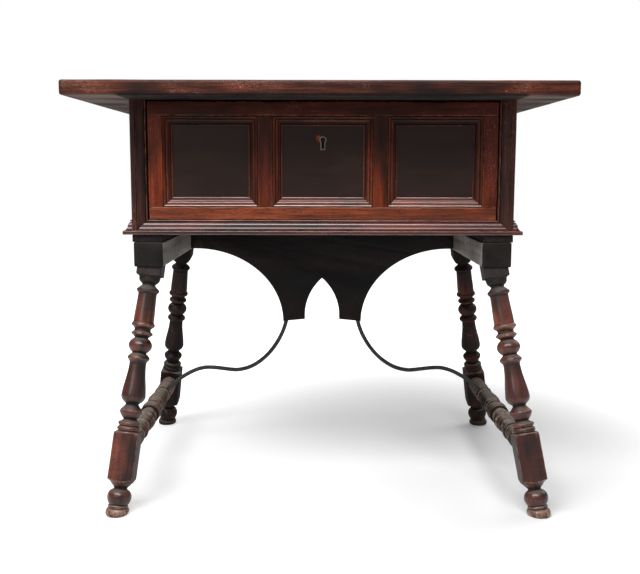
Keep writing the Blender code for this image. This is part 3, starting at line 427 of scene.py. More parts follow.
    # The wax shines on what stands proud, and less where dirt and painted shade lie, unless it is rubbed up
    # all over
    shader.inputs["Specular IOR Level"].default_value = 0.17 + 0.45 * wax
    if wax:
        lost = -wax * min(1.0, 1.5 - wax)
        coat = add(tree, "Math", {"operation": "MULTIPLY_ADD", 1: lost, 2: wax}, {0: dirt_and_shade})
        tree.links.new(coat, shader.inputs["Coat Weight"])
    return material


def wrought_iron(name, scaled, rusted):
    """Wrought iron, hammered hot and left with its scale: grey, dull, browner in the hollows."""
    material, tree, shader = new_finish(name)
    place = add(tree, "TexCoord").node.outputs["Object"]
    settings = {"Scale": 1 / HAMMER_MARK, "Detail": 3.0, "Roughness": 0.6}
    hammer = add(tree, "TexNoise", settings, {"Vector": place})
    settings = {"Scale": 1 / SCALE_FLAKE, "Detail": 3.0, "Roughness": 0.65}
    flake = add(tree, "TexNoise", settings, {"Vector": place})
    rust = add(tree, "MapRange", {"From Min": 0.42, "From Max": 0.66}, {"Value": hammer})
    settings = {"data_type": "RGBA", "A": linear(scaled), "B": linear(rusted)}
    colour = add(tree, "Mix", settings, {"Factor": rust})
    ends = {"From Min": 0.3, "From Max": 0.7, "To Min": 0.6, "To Max": 1.2}
    pitted = add(tree, "MapRange", ends, {"Value": flake})
    settings = {"data_type": "RGBA", "blend_type": "MULTIPLY", "Factor": 0.8}
    colour = add(tree, "Mix", settings, {"A": colour, "B": pitted})
    ends = {"From Min": 0.3, "From Max": 0.7, "To Min": 0.42, "To Max": 0.66}
    gloss = add(tree, "MapRange", ends, {"Value": flake})
    height = add(tree, "Math", {"operation": "MULTIPLY_ADD", 1: 0.4}, {0: flake, 2: hammer})
    normal = add(tree, "Bump", {"Strength": 0.5, "Distance": 0.5 * MM}, {"Height": height})
    tree.links.new(colour, shader.inputs["Base Color"])
    tree.links.new(gloss, shader.inputs["Roughness"])
    tree.links.new(normal, shader.inputs["Normal"])
    shader.inputs["Metallic"].default_value = 0.7
    return material


FINISHES = {
    # Broad planks, scratched and rubbed red by use, and grey where the saw left the underside
    "top": old_wood(
        "waxed_walnut_top", "#1c0d0b", "#542719", "#803d26", "#905a40",
        rough=0.44, figure=1.0, scars=1.0, raw="#807670",
    ),
    # The case, which hands seldom reach: brown, even and dull
    "case": old_wood(
        "waxed_walnut_case", "#221412", "#42251e", "#623224", "#7c5040",
        rough=0.42, relief=0.25,
    ),
    # The base moulding, rubbed up in cleaning: dark red with a clear shine
    "base": old_wood(
        "polished_walnut_base", "#28120f", "#521f17", "#7c3421", "#8a5346",
        rough=0.27, wax=0.65, figure=0.3, relief=0.1,
    ),
    # The drawer's frame: reddish brown with a satin shine
    "frame": old_wood(
        "waxed_walnut_frame", "#27130d", "#521b0f", "#8f3a1a", "#a05a36",
        rough=0.4,
    ),
    # The frame's lower rail, with the stain rubbed through to orange
    "rail": old_wood(
        "rubbed_walnut_rail", "#29150f", "#521e11", "#98431d", "#a0603c",
        rough=0.36, wax=0.2, figure=1.0,
    ),
    # Panels: nearly black, smooth, with hardly any grain
    "panel": old_wood(
        "waxed_walnut_panel", "#261b18", "#2e201c", "#8c4024", "#553a2e",
        rough=0.34, figure=0.08, relief=0.1, scars=0.05,
    ),
    # Strips round the panels: dark brown and dull
    "moulding": old_wood(
        "waxed_walnut_moulding", "#1f100c", "#461e14", "#80361a", "#6a3420",
        rough=0.44, figure=0.4, relief=0.15,
    ),
    # The lower strips, rubbed up with the panels: a bright shine, and redder, brighter colours than the other
    # strips, which paint the light from above on them
    "burnished_painted_light": old_wood(
        "polished_walnut_moulding_painted_light", "#30140f", "#64291e", "#984a30", "#9a6050",
        rough=0.25, wax=1.0, figure=0.2, relief=0.05,
    ),
    # Boards of the stand: black and dull
    "stand": old_wood(
        "dark_walnut_stand", "#0c0908", "#16100e", "#2c1a13", "#34261f",
        rough=0.55, figure=0.3, scars=0.1,
    ),
    # Bearers: black outside, and grey and scored by the saw where they took no stain
    "bearer": old_wood(
        "sawn_walnut_bearer", "#0f0c0b", "#1b1715", "#b5aca5", "#2c2522",
        rough=0.4, figure=0.35, tooled=0.5, scars=0.1,
    ),
    # Front legs: red where they are rubbed, pale on the edges, with a waxy shine
    "front_leg": old_wood(
        "turned_walnut_front", "#1e0f0c", "#5a2b21", "#8e4632", "#b08a74",
        rough=0.32, dust_and_sheen=0.3, wax=0.35, figure=0.3, tooled=0.4, relief=0.25,
    ),
    # Rear legs: a darker copy of the leg finish, painted shade for legs that stand back under the table;
    # dull, and pale on what faces up with dust and painted sheen
    "rear_leg": old_wood(
        "shaded_turned_walnut_rear", "#180f0d", "#2c1b17", "#642f20", "#5a4238",
        rough=0.46, dust_and_sheen=0.5, figure=0.35, tooled=0.3, relief=0.25,
    ),
    # Stretchers: scuffed to a greyish brown, with coarse tool marks and dust
    "stretcher": old_wood(
        "dusty_turned_walnut", "#0f0a08", "#412e26", "#7c6152", "#b59a8c",
        rough=0.5, dust_and_sheen=0.55, figure=0.6, tooled=1.0, relief=0.5,
    ),
    # Inside of the drawer, never stained: honey brown and dry
    "inner": old_wood(
        "bare_chestnut", "#5f4029", "#84603c", "#9f784f", "#b08a5f",
        rough=0.62, dust_and_sheen=0.2,
    ),
    # Stays and lock in their dull scale, and the keyhole's liner, which the key has rubbed bright
    "iron": wrought_iron("wrought_iron", "#4a4948", "#433b37"),
    "worn_iron": wrought_iron("rubbed_wrought_iron", "#82786f", "#6c5a4d"),
}


# What many of the functions below share
def held(value, low=0.0, high=1.0):
    """The value, held between two limits."""
    return min(high, max(low, value))


def near(value, middle, reach):
    """How near a value is to the middle: 1 there, and 0 at the reach and beyond."""
    return max(0.0, 1 - abs(value - middle) / reach)


def round_angles(count):
    """Angles evenly round a circle."""
    return [2 * math.pi * i / count for i in range(count)]


def new_object(name, data):
    """A new object in the scene."""
    obj = bpy.data.objects.new(name, data)
    bpy.context.scene.collection.objects.link(obj)
    return obj


def solid_object(name, bm):
    """A new object in the scene, which takes over the solid."""
    mesh = bpy.data.meshes.new(name)
    bm.to_mesh(mesh)
    bm.free()
    return new_object(name, mesh)


def read(items, name, *shape, kind="f"):
    """One property of all the vertices, edges, loops or faces of a mesh."""
    values = np.zeros((len(items), *shape), kind)
    items.foreach_get(name, values.ravel())
    return values


# Sections and stock
def rounded(corners):
    """Outline from corners (u, v, radius), each with a radius turned to an arc."""
    outline = []
    steps = 3
    straight = 0.01
    for i, (u, v, radius) in enumerate(corners):
        corner = Vector((u, v))
        back = (Vector(corners[i - 1][:2]) - corner).normalized()
        on = (Vector(corners[(i + 1) % len(corners)][:2]) - corner).normalized()
        half = back.angle(on) / 2
        if radius == 0 or math.pi / 2 - half < straight:
            outline.append(corner)
            continue
        centre = corner + (back + on).normalized() * (radius / math.sin(half))
        reach = radius / math.tan(half)
        start = corner + back * reach - centre
        end = corner + on * reach - centre
        for k in range(steps + 1):
            outline.append(centre + start.lerp(end, k / steps).normalized() * radius)
    return outline


def spaced(low, high, step):
    """Stations from low to high: one close to each end, and the rest a step apart or less."""
    guard = min(2.5 * MM, (high - low) / 3)
    count = max(1, math.ceil((high - low - 2 * guard) / step))
    inner = [low + guard + (high - low - 2 * guard) * i / count for i in range(count + 1)]
    return [low] + inner + [high]


def dense(outline, step):
    """The outline with points added along its long sides."""
    points = []
    for a, b in zip(outline, outline[1:] + outline[:1]):
        length = (b - a).length
        points.append(a)
        if length > step / 2:
            points += [a.lerp(b, t / length) for t in spaced(0.0, length, step)[1:-1]]
    return points


def inset(outline, depth):
    """The outline, drawn anticlockwise, moved inwards, with sharp corners held back."""
    points = []
    for i, p in enumerate(outline):
        back = (p - outline[i - 1]).normalized()
        on = (outline[(i + 1) % len(outline)] - p).normalized()
        a = Vector((-back.y, back.x))
        b = Vector((-on.y, on.x))
        points.append(p + (a + b) * (depth / max(0.3, 1 + a.dot(b))))
    return points


PLACES = {
    "x": lambda u, v, t: (t, u, v),
    "y": lambda u, v, t: (u, t, v),
    "z": lambda u, v, t: (u, v, t),
}


def loft(rings):
    """Skin over rings of points, closed at both ends."""
    bm = bmesh.new()
    rows = [[bm.verts.new(p) for p in ring] for ring in rings]
    for a, b in zip(rows, rows[1:]):
        for i in range(len(a)):
            j = (i + 1) % len(a)
            bm.faces.new((a[i], a[j], b[j], b[i]))
    bm.faces.new(rows[0][::-1])
    bm.faces.new(rows[-1])
    return bm


def milled(outline, along, low, high, arris, step):
    """A length of stock with a section, its ends eased over."""
    place = PLACES[along]
    ease = [(arris * (1 - math.cos(a)), arris * (1 - math.sin(a))) for a in (0, math.pi / 6, math.pi / 3)]
    rings = [(low + t, inset(outline, d)) for t, d in ease]
    rings += [(t, outline) for t in spaced(low + arris, high - arris, step)]
    rings += [(high - t, inset(outline, d)) for t, d in reversed(ease)]
    return loft([[place(u, v, t) for u, v in ring] for t, ring in rings])


def board(low, high, along, arris, step=12 * MM):
    """A planed board from corner to corner, its arrises eased."""
    u, v = (axis for axis in "xyz" if axis != along)
    u0, u1, v0, v1 = (getattr(c, axis) for axis in (u, v) for c in (low, high))
    corners = [(u0, v0, arris), (u1, v0, arris), (u1, v1, arris), (u0, v1, arris)]
    outline = dense(rounded(corners), step)
    return milled(outline, along, getattr(low, along), getattr(high, along), arris, step)


def mitred(outline, place, low, high, step=8 * MM):
    """A strip of moulding: low and high give where it ends at each point of its section."""
    start = [low(*p) for p in outline]
    end = [high(*p) for p in outline]
    count = max(2, math.ceil((max(end) - min(start)) / step))
    rings = []
    for share in spaced(0.0, 1.0, 1 / count):
        rings.append([place(*p, a + (b - a) * share) for p, a, b in zip(outline, start, end)])
    return loft(rings)


def level_round(middle, radius, z, count=24):
    """A level round of points."""
    around = round_angles(count)
    return [(middle.x + radius * math.cos(a), middle.y + radius * math.sin(a), z) for a in around]


def cut(bm, *tools):
    """The solid with the tools' solids taken out."""
    objects = []
    for solid in (bm, *tools):
        bmesh.ops.recalc_face_normals(solid, faces=solid.faces)
        objects.append(solid_object("stock", solid))
    for tool in objects[1:]:
        difference = objects[0].modifiers.new("cut", "BOOLEAN")
        difference.solver = "EXACT"
        difference.object = tool
    depsgraph = bpy.context.evaluated_depsgraph_get()
    mesh = objects[0].evaluated_get(depsgraph).to_mesh()
    result = bmesh.new()
    result.from_mesh(mesh)
    for obj in objects:
        bpy.data.objects.remove(obj)
    return result


def turns(mesh, places):
    """How sharply the surface turns outwards and inwards at each vertex, in radians per metre."""
    normals = read(mesh.polygons, "normal", 3)
    centres = read(mesh.polygons, "center", 3)
    totals = read(mesh.polygons, "loop_total", kind="i")
    loops = read(mesh.loops, "edge_index", kind="i")
    edges = read(mesh.edges, "vertices", 2, kind="i")

    # The faces on both sides of each edge
    order = np.argsort(loops, kind="stable")
    owners = np.repeat(np.arange(len(totals)), totals)[order]
    numbers = np.arange(len(edges))
    a = owners[np.searchsorted(loops[order], numbers)]
    b = owners[np.searchsorted(loops[order], numbers, "right") - 1]
    middles = places[edges].mean(axis=1)
    turn = np.arccos(np.clip((normals[a] * normals[b]).sum(axis=1), -1, 1))
    width = np.linalg.norm(centres[a] - middles, axis=1) + np.linalg.norm(centres[b] - middles, axis=1)
    bend = turn / np.maximum(width, THINNEST_FACE)
    outwards = ((centres[b] - centres[a]) * normals[a]).sum(axis=1) < 0
    result = []
    for chosen in (outwards, ~outwards):
        most = np.zeros(len(places))
        for k in (0, 1):
            np.maximum.at(most, edges[:, k], np.where(chosen, bend, 0))
        result.append(most)
    return result


def put(name, bm, finish, nodes, along, tone=0.4, sway=0.0, nick=0.0, matrix=None, marks=None):
    """Adds a piece in the place of CAD nodes, on their body and with the marks that its finish reads.

    The grain runs along an axis of the mesh. Tone is 0 for full stain and 1 for rubbed thin, or a
    function of the place. Sway is how far the plane left the faces from flat, nick how much the
    arrises have lost. Marks gives what else has worn and darkened a place.
    """
    bmesh.ops.recalc_face_normals(bm, faces=bm.faces)
    piece = solid_object(name, bm)
    mesh = piece.data
    mesh.materials.append(FINISHES[finish])

    places = read(mesh.vertices, "co", 3)
    outwards, inwards = turns(mesh, places)
    wear = np.clip((outwards - WEAR_START) / WEAR_RANGE, 0, 1)
    grime_and_shade = np.clip((inwards - DIRT_START) / DIRT_RANGE, 0, 1)
    if marks:
        more = np.array([marks(Vector(p)) for p in places])
        wear = np.clip(wear + more[:, 0], 0, 1)
        grime_and_shade = np.clip(grime_and_shade + more[:, 1], 0, 1)
    tones = [tone(Vector(p)) if callable(tone) else tone for p in places]
    count = len(bpy.data.objects)
    shift = Vector([step * count for step in TREE_SHIFT])
    order = {"x": (1, 2, 0), "y": (2, 0, 1), "z": (0, 1, 2)}[along]
    grain = places[:, order] + np.array(shift, "f")
    if sway or nick:
        normals = read(mesh.vertices, "normal", 3)
        moves = np.zeros(len(places))
        for i, p in enumerate(places):
            p = Vector(p) + shift
            lost = nick * wear[i] * max(0.0, NICK_EVEN + noise.noise(p * NICK_WAVES))
            moves[i] = sway * noise.noise(p * SWAY_WAVES) - lost
        mesh.vertices.foreach_set("co", (places + normals * moves[:, None]).astype("f").ravel())
    if matrix:
        mesh.transform(matrix)
    mesh.update()
    for label, values in (("grain", grain), ("marks", np.stack([wear, grime_and_shade, tones], axis=1))):
        attribute = mesh.attributes.new(label, "FLOAT_VECTOR", "POINT")
        attribute.data.foreach_set("vector", values.astype("f").ravel())
    mesh.shade_smooth()
    mesh.set_sharp_from_angle(angle=CREASE)
    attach(piece, body_of(frame["nodes"][nodes[0]])[0])
    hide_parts(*nodes)
    return piece


def dressed(node, finish, along, arris=0.6 * MM, tone=0.4):
    """A copy of a CAD node with its arrises eased."""
    bm = bmesh.new()
    bm.from_mesh(frame["nodes"][node].data)
    flat = math.radians(1)
    corner = math.radians(40)
    bmesh.ops.remove_doubles(bm, verts=bm.verts, dist=0.002 * MM)
    stock = {"verts": bm.verts, "edges": bm.edges}
    bmesh.ops.dissolve_limit(bm, angle_limit=flat, use_dissolve_boundaries=False, **stock)
    sharp = [e for e in bm.edges if e.is_manifold and e.calc_face_angle() > corner]
    ease = {"offset": arris, "segments": 2, "profile": 0.5, "affect": "EDGES", "clamp_overlap": True}
    bmesh.ops.bevel(bm, geom=sharp, **ease)
    broad = [f for f in bm.faces if f.calc_area() > 4 * arris * max(e.calc_length() for e in f.edges)]
    bmesh.ops.inset_individual(bm, faces=broad, thickness=arris, use_even_offset=True)
    return put(f"{node}_eased", bm, finish, [node], along, tone)


# Top
def plank_section(y0, y1, joint0, joint1):
    """Section of a plank in y and z, anticlockwise, with a round, groove or tongue at each edge."""
    third = (HEIGHT - UNDER_TOP) / 3

    def joint(y, kind, out):
        if kind == "round":
            return []
        slack = GAP if kind == "tongue" else 0
        deep = y + out * (TONGUE - GAP if kind == "tongue" else -TONGUE)
        low = UNDER_TOP + third + slack
        high = HEIGHT - third - slack
        return [(y, low, 0), (deep, low, 0), (deep, high, 0), (y, high, 0)]

    soft0, soft1 = (PLANK_ROUND if kind == "round" else PLANK_SEAM for kind in (joint0, joint1))
    corners = [(y0, UNDER_TOP, soft0), (y1, UNDER_TOP, soft1)] + joint(y1, joint1, 1)
    corners += [(y1, HEIGHT, soft1), (y0, HEIGHT, soft0)] + joint(y0, joint0, -1)[::-1]
    return dense(rounded(corners), PLANK_STEP)


def make_pegs(place):
    """The two pegs of a plank, domed over its face, and cutters for their holes."""
    holes = []
    for side in SIDES:
        node = f"top_peg_{place}_{side}"
        low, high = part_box(node)
        radius = (high.y - low.y) / 2 + PEG_SLACK
        middle = (low + high) / 2
        ends = (UNDER_TOP - CUTTER_REACH, HEIGHT + CUTTER_REACH)
        holes.append(loft([level_round(middle, radius, z) for z in ends]))
        shares = [(low.z, 0.9), (HEIGHT - 1.0 * MM, 0.96)]
        shares += [(HEIGHT + 0.1 * MM, 0.92), (HEIGHT + 0.35 * MM, 0.72), (HEIGHT + 0.45 * MM, 0.3)]
        peg = loft([level_round(middle, radius * share, z) for z, share in shares])
        put(f"peg_{place}_{side}", peg, "top", [node], "z", tone=0.25)
    return holes


def lock_mortises():
    """Cutters for the strike plate's bed and the bolt's slot in the front plank."""
    low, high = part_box("strike_plate")
    low = low - CUTTER_ROOM - Vector((0, 0, CUTTER_REACH))
    bed = board(low, high + CUTTER_ROOM, "x", HAIR, CUTTER_STEP)
    low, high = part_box("lock_bolt")
    low = Vector((low.x, low.y, UNDER_TOP - CUTTER_REACH)) - BOLT_SLACK
    high = Vector((high.x, high.y, UNDER_TOP + BOLT_SLOT)) + BOLT_SLACK
    return [bed, board(low, high, "z", HAIR, CUTTER_STEP)]


def top_tone(p):
    """The top is rubbed thin in broad patches, where things were set down."""
    return 0.38 + 0.25 * noise.noise(p * TOP_WAVES)


def top_underside_shade(p):
    """Painted shade: the top's underside is blackened over the drawer, where the overhang throws its shadow.
    """
    over_case = abs(p.x - CENTRE) < SIDE_OUT and p.z < UNDER_TOP + UNDERSIDE_SHADE_DEPTH
    return 0.0, 0.9 if over_case else 0.0


def make_top():
    """Three planks, tongued and grooved together, with their pegs."""
    seam = FRONT_PLANK[1].y
    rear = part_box("top_plank_rear")
    edges = {
        "front": (FRONT_PLANK[0].y, seam, "round", "groove"),
        "middle": (seam + GAP, -seam - GAP, "tongue", "tongue"),
        "rear": (rear[0].y, rear[1].y, "groove", "round"),
    }
    ends = (FRONT_PLANK[0].x, FRONT_PLANK[1].x)
    age = {"tone": top_tone, "sway": 0.25 * MM, "nick": 1.4 * MM, "marks": top_underside_shade}
    for place, edge in edges.items():
        plank = milled(plank_section(*edge), "x", *ends, PLANK_END, PLANK_STEP)
        tools = make_pegs(place)
        if place == "front":
            tools += lock_mortises()
        put(f"plank_{place}", cut(plank, *tools), "top", [f"top_plank_{place}"], "x", **age)


# Mouldings
def swept(start, end, rise, bends, steps):
    """Section points from start to end: over a half round with one bend, along an ogee with two."""
    points = []
    for i in range(steps + 1):
        t = i / steps
        lift = rise * math.sin(bends * math.pi * t)
        points.append((start[0] + (end[0] - start[0]) * t, start[1] + (end[1] - start[1]) * t + lift, 0))
    return points


def architrave_section():
    """Width from the drawer's edge against height above the case front: bead, quirk, ogee and sink."""
    quirk = BEAD_WIDTH + QUIRK_WIDTH
    crest = quirk + OGEE_WIDTH
    points = swept((0.0, MOULD_LOW), (BEAD_WIDTH, MOULD_LOW), BEAD_RISE, 1, 8)
    points += [(BEAD_WIDTH + HAIR, MOULD_LOW - QUIRK_DEPTH, 0), (quirk, MOULD_LOW - QUIRK_DEPTH, 0)]
    points += swept((quirk + HAIR, MOULD_LOW + OGEE_STEP), (crest, MOULD_HIGH), OGEE_BEND, 2, 14)
    points += [(crest + HAIR, MOULD_HIGH - SINK_DEPTH, 0), (MOULD_WIDTH, MOULD_HIGH - SINK_DEPTH, 0)]
    return points


def panel_section():
    """Width in from the frame against height above the panel: fillet, half round, quirk, ogee and bead."""
    rise = PANEL_FACE - FACE
    width = PANEL_MOULD_WIDTH
    points = [(0.3 * MM, rise - 3.5 * MM, 0), (1.3 * MM, rise - 3.5 * MM, 0)]
    points += [(1.6 * MM, rise + 0.6 * MM, 0.2 * MM)]
    points += swept((2.4 * MM, rise + 1.0 * MM), (5.6 * MM, rise - 1.8 * MM), 0.5 * MM, 1, 6)
    points += [(5.7 * MM, rise - 3.4 * MM, 0), (6.7 * MM, rise - 3.4 * MM, 0)]
    points += swept((7.0 * MM, rise - 2.8 * MM), (13.5 * MM, 3.8 * MM), 0.6 * MM, 2, 10)
    points += [(13.7 * MM, 1.5 * MM, 0), (width - 2.6 * MM, 1.5 * MM, 0)]
    points += [(width - 2.2 * MM, 3.0 * MM, 0.3 * MM), (width, 2.4 * MM, 0.5 * MM), (width, GAP, 0)]
    return points + [(0.3 * MM, GAP, 0)]


def wiped(p):
    """The lower strips are wiped with the panels, so that less dirt is left in their quirks."""
    return 0.0, -0.5


def make_panel_mouldings():
    """Four mitred strips round each panel, the lower one rubbed to a shine and given brighter colours as
    painted light.
    """
    outline = dense(rounded(panel_section()), SECTION_STEP)
    tones = {
        "left": (0.5, 0.45, 0.3, 0.45),
        "middle": (0.45, 0.5, 0.25, 0.5),
        "right": (0.4, 0.55, 0.2, 0.5),
    }
    for place, (left, right, top, bottom) in tones.items():
        x0, x1 = opening(place)
        z0, z1 = OPEN_BOTTOM, OPEN_TOP
        strips = {
            "left": (lambda d, h, t: (x0 + d, PANEL_FACE - h, t), z0, z1, "z", left),
            "right": (lambda d, h, t: (x1 - d, PANEL_FACE - h, t), z0, z1, "z", right),
            "top": (lambda d, h, t: (t, PANEL_FACE - h, z1 - d), x0, x1, "x", top),
            "bottom": (lambda d, h, t: (t, PANEL_FACE - h, z0 + d), x0, x1, "x", bottom),
        }
        for side, (spot, low, high, along, tone) in strips.items():
            strip = mitred(outline, spot, lambda d, h: low + d + MITRE_GAP, lambda d, h: high - d - MITRE_GAP)
            finish = "burnished_painted_light" if side == "bottom" else "moulding"
            age = {"tone": tone, "sway": 0.06 * MM, "nick": 0.1 * MM}
            age["marks"] = wiped if side == "bottom" else None
            put(f"panel_strip_{place}_{side}", strip, finish, [f"panel_moulding_{place}"], along, **age)


def make_architraves():
    """The upright strip on each side of the drawer, mitred into the base moulding."""
    corners = architrave_section()
    corners += [(MOULD_WIDTH + HAIR, MOULD_HIGH, 0.3 * MM), (SIDE_THICK, MOULD_HIGH, 1.2 * MM)]
    corners += [(SIDE_THICK, GAP, 0), (0.0, GAP, 0)]
    outline = dense(rounded(corners), SECTION_STEP)
    age = {"tone": 0.3, "sway": 0.2 * MM, "nick": 0.6 * MM}
    for side, sx in SIDES.items():
        strip = mitred(
            outline,
            lambda d, h, t: (CENTRE + sx * (SIDE_IN + d), CASE_FRONT - h, t),
            lambda d, h: max(BAND_TOP, MOULD_TOP - d) + GAP,
            lambda d, h: CASE_TOP,
        )
        put(f"architrave_strip_{side}", strip, "case", [f"architrave_{side}"], "z", **age)


def make_base_moulding():
    """An ogee over a plain band along the front, returned along both sides of the case."""
    # The drawer's sides run out just over the moulding
    ogee = [(max(d, GAP), h, radius) for d, h, radius in architrave_section()]
    ogee += [(MOULD_WIDTH + HAIR, GAP, 0), (GAP, GAP, 0)]
    ogee = dense(rounded(ogee), SECTION_STEP)
    band_height = BAND_TOP - CASE_FLOOR
    start = MOULD_WIDTH
    end = MOULD_WIDTH + band_height - GAP
    band = [(start, GAP, 0), (start, BAND_PROUD, BAND_ARRIS), (end, BAND_PROUD, BAND_ARRIS), (end, GAP, 0)]
    band = dense(rounded(band), BAND_STEP)

    def front(d, h, t):
        return (CENTRE + t, CASE_FRONT - h, MOULD_TOP - d)

    strip = mitred(ogee, front, lambda d, h: -SIDE_IN - d + GAP, lambda d, h: SIDE_IN + d - GAP)
    age = {"tone": 0.38, "sway": 0.08 * MM, "nick": 0.2 * MM}
    put("base_ogee_front", strip, "base", ["base_moulding_front"], "x", **age)
    strip = mitred(band, front, lambda d, h: -SIDE_OUT - h, lambda d, h: SIDE_OUT + h)
    age = {"tone": 0.38, "sway": 0.1 * MM, "nick": 0.5 * MM}
    put("base_band_front", strip, "base", ["base_moulding_front"], "x", **age)
    for side, sx in SIDES.items():
        strip = mitred(
            ogee,
            lambda d, h, t: (CENTRE + sx * t, CASE_FRONT - h, MOULD_TOP - d),
            lambda d, h: SIDE_OUT + GAP,
            lambda d, h: SIDE_OUT + h,
        )
        put(f"base_return_{side}", strip, "base", ["base_moulding_front"], "x", tone=0.38, nick=0.1 * MM)
        age = {"tone": 0.36, "sway": 0.1 * MM, "nick": 0.3 * MM}
        for part, outline in (("ogee", ogee), ("band", band)):
            strip = mitred(
                outline,
                lambda d, h, t: (CENTRE + sx * (SIDE_OUT + h), t, MOULD_TOP - d),
                lambda d, h: CASE_FRONT - h + GAP,
                lambda d, h: CASE_REAR,
            )
            put(f"base_{part}_{side}", strip, "base", [f"base_moulding_{side}"], "y", **age)


# Case
def make_case():
    """The boards of the case, and what the drawer runs on and stops at."""
    for side in SIDES:
        dressed(f"case_side_{side}", "case", "y", 0.8 * MM, tone=0.35)
        for part in ("runner", "stop"):
            dressed(f"drawer_{part}_{side}", "inner", "y", 0.8 * MM)
    dressed("case_back", "case", "x", tone=0.3)
    dressed("case_front_rail", "case", "x")
    dust_board = board(*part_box("case_bottom_board"), "x", 0.8 * MM)
    put("dust_board", dust_board, "stand", ["case_bottom_board"], "x", tone=0.3, sway=0.1 * MM)


# Drawer
def opening(place):
    """Left and right edges of a panel's opening."""
    neighbours = {
        "left": ("drawer_stile_left", "drawer_muntin_left"),
        "middle": ("drawer_muntin_left", "drawer_muntin_right"),
        "right": ("drawer_muntin_right", "drawer_stile_right"),
    }[place]
    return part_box(neighbours[0])[1].x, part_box(neighbours[1])[0].x


def frame_tone(p):
    """The frame is darkest at the top right and rubbed to orange along the bottom rail."""
    drop = (OPEN_TOP - p.z) / (OPEN_TOP - OPEN_BOTTOM)
    tone = 0.1 + 0.34 * held(drop, -0.2) - 0.12 * held(p.x / FRONT_REACH, -1.0)
    if p.z < OPEN_BOTTOM:
        tone += 0.27
    return tone + 0.12 * noise.noise(p * FRAME_WAVES)


def stile_tone(p):
    """The left stile is rubbed most along its inner edge, a little below the middle."""
    across = near(p.x, STILE_INNER, STILE_RUB_WIDTH)
    up = near(p.z, STILE_RUB_Z, STILE_RUB_REACH)
    return frame_tone(p) + 0.08 + 0.6 * across * up


def muntin_tone(p):
    """The right muntin is rubbed red below the middle."""
    return frame_tone(p) + 0.12 + 0.16 * held((MUNTIN_RUB_Z - p.z) / MUNTIN_RUB_FADE)


def panel_tone(p):
    """The key has rubbed a ragged patch beside the keyhole."""
    across = p.x - CENTRE + KEY_RUB_LEFT
    up = (p.z - KEYHOLE_Z - KEY_RUB_UP) * 0.8
    ragged = Vector((across, up)).length / KEY_RUB_RADIUS + 0.3 * noise.noise(p * PANEL_WAVES)
    return 1.5 * held(1.05 - ragged) - 0.3


def keyhole_outline(wider=0.0):
    """A round bow over a straight slot, in x and z."""
    bow = KEYHOLE_BOW + wider
    slot = KEYHOLE_SLOT + 2 * wider
    angle = math.asin(slot / 2 / bow)
    steps = 24
    points = []
    for i in range(steps + 1):
        t = -math.pi / 2 + angle + (2 * math.pi - 2 * angle) * i / steps
        points.append((CENTRE + bow * math.cos(t), KEYHOLE_Z + bow * math.sin(t)))
    foot = KEYHOLE_Z - KEYHOLE_DROP - wider
    return points + [(CENTRE - slot / 2, foot), (CENTRE + slot / 2, foot)]


def make_drawer_frame():
    """Rails, stiles and muntins of the drawer front."""
    age = {"tone": frame_tone, "sway": 0.2 * MM, "nick": 0.8 * MM}
    for place, finish in (("top", "frame"), ("bottom", "rail")):
        rail = board(*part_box(f"drawer_rail_{place}"), "x", RAIL_ARRIS, step=9 * MM)
        put(f"rail_{place}", rail, finish, [f"drawer_rail_{place}"], "x", **age)
    tones = {"stile_left": stile_tone, "muntin_right": muntin_tone}
    for name in ("stile_left", "stile_right", "muntin_left", "muntin_right"):
        low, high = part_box(f"drawer_{name}")
        low = Vector((low.x, low.y, OPEN_BOTTOM + HAIR))
        high = Vector((high.x, high.y, OPEN_TOP - HAIR))
        upright = board(low, high, "z", UPRIGHT_ARRIS, step=7 * MM)
        age = {"tone": tones.get(name, frame_tone), "sway": 0.2 * MM, "nick": 0.5 * MM}
        put(name, upright, "frame", [f"drawer_{name}"], "z", **age)


def make_panels():
    """The three panels, the middle one cut through for the keyhole."""
    for place in ("left", "middle", "right"):
        low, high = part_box(f"drawer_panel_{place}")
        x0, x1 = opening(place)
        low = Vector((x0 + GAP, low.y, OPEN_BOTTOM + GAP))
        high = Vector((x1 - GAP, high.y, OPEN_TOP - GAP))
        step = 3 * MM if place == "middle" else 8 * MM
        panel = board(low, high, "x", PANEL_ARRIS, step)
        tone = -0.3
        if place == "middle":
            hole = keyhole_outline(LINER_WALL + HAIR)
            ends = (low.y - CUTTER_REACH, high.y + CUTTER_REACH)
            panel = cut(panel, loft([[(x, y, z) for x, z in hole] for y in ends]))
            tone = panel_tone
        put(f"panel_{place}", panel, "panel", [f"drawer_panel_{place}"], "x", tone, sway=0.25 * MM)


def make_drawer():
    """The drawer's front, its box and its lock."""
    make_drawer_frame()
    make_panels()
    make_panel_mouldings()
    for side in SIDES:
        dressed(f"drawer_side_{side}", "inner", "y", 0.8 * MM)
    dressed("drawer_back", "inner", "x", 0.8 * MM)
    dressed("drawer_bottom", "inner", "x", 0.5 * MM)
    dressed("keyhole_liner", "worn_iron", "x", 0.25 * MM)
    for node in ("lock_case", "lock_key_pin", "lock_spring", "lock_bolt", "strike_plate"):
        dressed(node, "iron", "x", 0.25 * MM)


# Stand
def bulge(length, start, end, widest, steps=7, full=0.5):
    """A turned bead or bulb: radius against length, swelling to its widest half way along.

    Full is 0.5 for a round bead, and more for a ball drawn out to an edge.
    """
    points = []
    for i in range(1, steps):
        t = i / steps
        side = start + (end - start) * t
        points.append((length * t, side + (widest - side) * math.sin(math.pi * t) ** full))
    return points + [(length, end)]


def swell(length, start, end, lead=1.0, steps=5):
    """A turned taper that leaves and arrives softly."""
    points = []
    for i in range(1, steps + 1):
        t = (i / steps) ** lead
        points.append((length * i / steps, start + (end - start) * t * t * (3 - 2 * t)))
    return points


